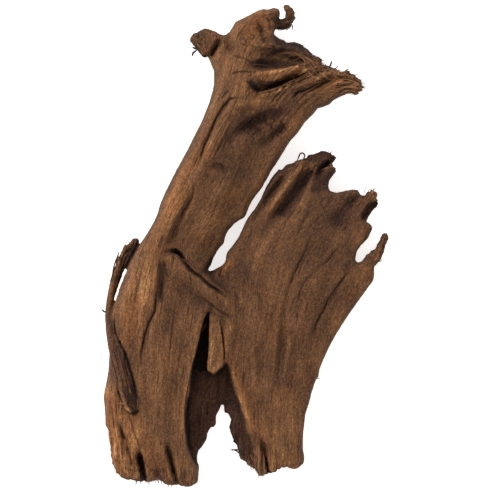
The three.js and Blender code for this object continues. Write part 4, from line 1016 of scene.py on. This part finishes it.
print("scatter nodes so far:", len(scatter.nodes))

# %% One fibre, planted at every point and swayed
FIBRE_STEPS, FIBRE_SIDES = 7, 5
TAPER = ((0.0, 0.35), (0.5, 1.0), (1.0, 0.1))  # place along the fibre, and its thickness there
SWAY_NOISE = 170.0  # bends of about 6 mm
line = add(scatter, "GeometryNodeCurvePrimitiveLine", {"Start": (-0.5, 0, 0), "End": (0.5, 0, 0)})
points_on_line = add(scatter, "GeometryNodeResampleCurve", {"Curve": line, "Count": FIBRE_STEPS})
taper = add(scatter, "ShaderNodeFloatCurve", {"Value": add(scatter, "GeometryNodeSplineParameter")})
curve = taper.mapping.curves[0]
curve.points.new(*TAPER[1])
for point, at in zip((curve.points[0], curve.points[-1]), (TAPER[0], TAPER[-1])):
    point.location = at
ring = add(scatter, "GeometryNodeCurvePrimitiveCircle", {"Resolution": FIBRE_SIDES, "Radius": 0.5})
tube = add(scatter, "GeometryNodeCurveToMesh", {
    "Curve": points_on_line, "Profile Curve": ring, "Scale": taper, "Fill Caps": True})
thickness = start.outputs["Thickness"]
size = add(scatter, "ShaderNodeCombineXYZ", {0: chance[3], 1: thickness, 2: thickness})
planted = add(scatter, "GeometryNodeInstanceOnPoints", {
    "Points": spread, "Instance": tube, "Rotation": turned, "Scale": size})
toned = add(scatter, "GeometryNodeStoreNamedAttribute", {
    "Geometry": planted, "Name": "fibre_tone", "Value": chance[4]}, data_type="FLOAT", domain="INSTANCE")
loose = add(scatter, "GeometryNodeRealizeInstances", {0: toned})


def swayed(tree, geometry, noise_scale, much):
    """Bends the geometry by a noise, this much."""
    wave = add(tree, "ShaderNodeTexNoise", {"Scale": noise_scale, "Detail": 1.0}).outputs["Color"]
    wave = add(tree, VECTORS, {0: wave, 1: (0.5, 0.5, 0.5)}, operation="SUBTRACT")
    wave = add(tree, VECTORS, {0: wave, "Scale": much}, operation="SCALE")
    return add(tree, "GeometryNodeSetPosition", {"Geometry": geometry, "Offset": wave})


bent = swayed(scatter, loose, SWAY_NOISE, start.outputs["Sway"])
scatter.links.new(bent.outputs[0], end.inputs[0])
fibres = linked("loose_fibres", run_tree(body, scatter, FIBRE_INPUTS))
print("loose fibres:", len(fibres.data.polygons), "faces")

# %% [markdown]
# ## Strands and rootlets drawn one by one
# The long strands over the crown, the rootlet stubs and the hairs at the rim are too distinct to be left to
# chance. Each is a path on the sheet with a thickness and a tone. Its height is found by looking down on
# the skin from above, and a node tree turns all paths into tapered tubes at once.

# %% Strands: points, thickness in millimetres, tone, lift above the skin in millimetres
STRANDS = rows_of(
    # crown, over the crevices
    """
    258,95 264,93 272,91.3 281,87.5 288,84 296,80 304,76 310,72.5: 1.7 0.75 0.3;
    294,90 300,86.5 308,82 316,77.5 324,72: 1.5 0.7 0.3; 300,87 308,82 315,78 323,73 329,69: 1.3 0.8 0.3;
    298,96 306,92 314,87.5 322,82 330,78: 1.5 0.65 0.3; 304,98 314,93 324,87 335,82: 1.4 0.55 0.3;
    288,91 296,87 304,83 312,78.5: 1.1 0.55 0.2; 292,52 300,57 305,63 303,69: 1.1 0.7 0.7;
    296,60 304,58 311,62 315,68: 1.1 0.7 0.8; 288,57 300,56 312,62 322,70: 1.5 0.5 0.4;
    276,55.5 288,54 300,57 312,63: 1.3 0.55 0.3; 293,76.5 294,80.5 297,82: 0.8 0.75 0.8;
    306,70 310,75 314,79 318,80: 0.9 0.8 1; 310,66 314,72 318,76: 0.9 0.75 0.9;
    318,70 322,76 330,80 338,78: 1.1 0.7 0.7; 327,70 332,73 336,78 340,80: 1 0.8 0.7;
    334,70 342,74 350,77 358,84: 1.3 0.6 0.5; 336,90 346,87 356,88 363,90: 1.5 0.8 0.3;
    340,79 350,80 358,84 362,88: 1.2 0.9 0.4; 338,84 346,82.5 354,85 360,87: 1.2 0.8 0.3;
    330,86 340,84 349,83.5 357,86: 1.3 0.7 0.3; 322,92 332,88 342,87 352,90: 1.2 0.6 0.2;
    342,92 349,90 356,91.5 360,91: 1.1 0.85 0.2; 236,72 246,68 258,66 270,67: 1.1 0.45 0;
    252,79 257,82 264,84.5 273,84.5: 0.8 0.45 0.2;
    """,
    # stubs and hairs at the rim
    """
    329.2,68 330.5,64.5 331.8,61: 1.4 0.15 0; 334,70 336.5,67.5 338,66: 0.7 0.2 0;
    344,72 347,69.5 350,69: 0.8 0.3 0; 361,86 364,87.5 365.5,88: 0.8 0.1 0;
    353,93 357,94 359,93: 0.8 0.6 0; 198.5,49.5 195,49 192.3,47.3: 1.5 0.1 0;
    197,50 193.5,53 192,56.5: 1.7 0.08 0; 203,54 204.5,57 207,58: 1 0.15 0;
    296.5,162 298.6,157 300.2,154 302.5,153 304.6,155.5 303.2,160 302.5,164: 1.2 0.15 0.2;
    363.5,197 364.4,192 365.6,188 367.4,186.6: 0.5 0.2 0; 366,199 363.5,196 364.5,194: 0.5 0.3 0;
    107,312 104.5,311 102.2,309: 1.4 0.08 0; 246,459 241,455.5 236,452 229.5,449.3: 1.1 0.08 0;
    247,457 241.5,452.5 236,450.3 231,451.5: 1.1 0.08 0; 250,470 247.5,469 245.8,467: 0.9 0.1 0;
    317,379 319,378.6 320.4,378.2: 0.6 0.3 0; 314.5,385 316,384 317.2,382.6: 0.6 0.3 0;
    291,24 292.5,27 292.3,31: 0.9 0.15 0; 287,25 287.5,28 286,30.5: 0.7 0.15 0;
    278,27 277.5,29.5 279,31: 0.7 0.2 0; 201.5,455 201,460 202,463.5: 0.7 0.2 0;
    378,262 381,261.5 382.5,259: 0.7 0.2 0; 105,429 103.4,426 103.2,423: 0.7 0.4 0;
    """,
    # trunk, leg and plate
    """
    228,116 221,128 214,142 208,156: 0.8 0.8 0.15; 234,118 226,130 219,144: 0.7 0.65 0.15;
    206,150 199,166 190,184 183,198: 0.8 0.75 0.1; 158,232 152,246 146,258: 0.8 0.7 0.2;
    119,252 114,268 110,288: 1.1 0.35 0.2; 124,362 129,378 134,396: 0.9 0.3 0.3;
    118,344 122,360 127,378: 0.8 0.5 0.3; 119,402 124,401.5 128,402.5 132,402: 0.9 0.8 0.5;
    121,398 122.5,404 121,410: 0.7 0.9 0.5; 138,396 139,403 138,408: 0.7 0.7 0.4;
    258,444 258.6,455 258.8,464 259.5,475: 1.3 0.8 0.2; 263.6,455 264.2,463 264,471: 1.1 0.9 0.3;
    270,452 269.6,462 270,471: 0.9 0.7 0.1; 254.5,454 255.5,462 256.5,470: 1 0.7 0.1;
    229.6,325.5 230.6,328 231.6,330.5: 0.9 1 0.2; 253.6,333 254.8,334: 0.9 1 0.2;
    320,171 325,168.5 331.5,167: 1.3 0.85 0.9; 208.8,318 206.5,323 203.5,329 201.3,332.5: 0.5 0.8 9;
    160,262 163,272 161,284: 0.8 0.35 0.2;
    """,
)
print("strands:", len(STRANDS))

# %% Lay the strands on the skin
SPACING = 1.2 * MM
EVEN_OVER = 5  # points over which a strand's height is evened out
FIRST_END, LAST_END = 0.35, 0.3  # share of its thickness that a strand keeps at its two ends
SWELLING = 2.5  # how fast it grows to its full thickness from there


def rounded(path):
    """The path with points close together on a smooth curve through the drawn ones."""
    line = on_sheet(path)
    padded = np.vstack([2 * line[0] - line[1], line, 2 * line[-1] - line[-2]])
    out = []
    for a, b, c, d in zip(padded, padded[1:], padded[2:], padded[3:]):
        steps = max(2, int(np.linalg.norm(c - b) / SPACING))
        for t in np.arange(steps) / steps:
            bend, twist = 2 * a - 5 * b + 4 * c - d, 3 * b - a - 3 * c + d
            out.append(0.5 * (2 * b + (c - a) * t + bend * t * t + twist * t ** 3))
    return np.array(out + [line[-1]])


bpy.context.view_layer.update()
strand_points, strand_edges, strand_sizes, strand_tones = [], [], [], []
for path, thickness, strand_tone, lift in STRANDS:
    line = rounded(path)
    heights = np.array([height_at(x, y) for x, y in line], dtype=float)
    known = ~np.isnan(heights)
    if not known.any():
        continue
    heights = np.interp(np.arange(len(line)), np.nonzero(known)[0], heights[known])
    heights = np.pad(heights, EVEN_OVER // 2, mode="edge")
    heights = np.convolve(heights, np.ones(EVEN_OVER) / EVEN_OVER, mode="valid")
    first = len(strand_points)
    for i, ((x, y), z) in enumerate(zip(line, heights)):
        share = i / (len(line) - 1)
        strand_points.append((x, y, z + lift * MM * np.sin(np.pi * share)))
        fullness = min(1.0, FIRST_END + SWELLING * share, LAST_END + SWELLING * (1 - share))
        strand_sizes.append(thickness * MM * fullness)
        strand_tones.append(strand_tone)
        if i:
            strand_edges.append((first + i - 1, first + i))
strand_mesh = bpy.data.meshes.new("strands")
strand_mesh.from_pydata(strand_points, strand_edges, [])
store(strand_mesh, "thickness", np.array(strand_sizes))
store(strand_mesh, "fibre_tone", np.array(strand_tones))
strands = linked("strands", strand_mesh)
print("strand points:", len(strand_points))

# %% Tube tree
TUBE_INPUTS = {"Thickness factor": 1.0, "Wobble": 0.9 * MM}
TUBE_SIDES = 7
WOBBLE_NOISE = 260.0  # bends of about 4 mm
tubes, start, end = new_tree("tapered_tubes", TUBE_INPUTS, fibre_wood)
curves = add(tubes, "GeometryNodeMeshToCurve", {"Mesh": start.outputs["Geometry"]})
bent = swayed(tubes, curves, WOBBLE_NOISE, start.outputs["Wobble"])
ring = add(tubes, "GeometryNodeCurvePrimitiveCircle", {"Resolution": TUBE_SIDES, "Radius": 0.5})
own = add(tubes, "GeometryNodeInputNamedAttribute", {"Name": "thickness"}, data_type="FLOAT")
girth = add(tubes, MATH, {0: own, 1: start.outputs["Thickness factor"]}, operation="MULTIPLY")
tube = add(tubes, "GeometryNodeCurveToMesh", {
    "Curve": bent, "Profile Curve": ring, "Scale": girth, "Fill Caps": True})
tubes.links.new(tube.outputs[0], end.inputs[0])
strands.data = run_tree(strands, tubes, TUBE_INPUTS)
for piece in (fibres, strands):
    keep_above_floor(piece.data)
    shade_smooth(piece.data)
    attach(piece, "root")
    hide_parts("driftwood")
print("strands:", len(strands.data.polygons), "faces")
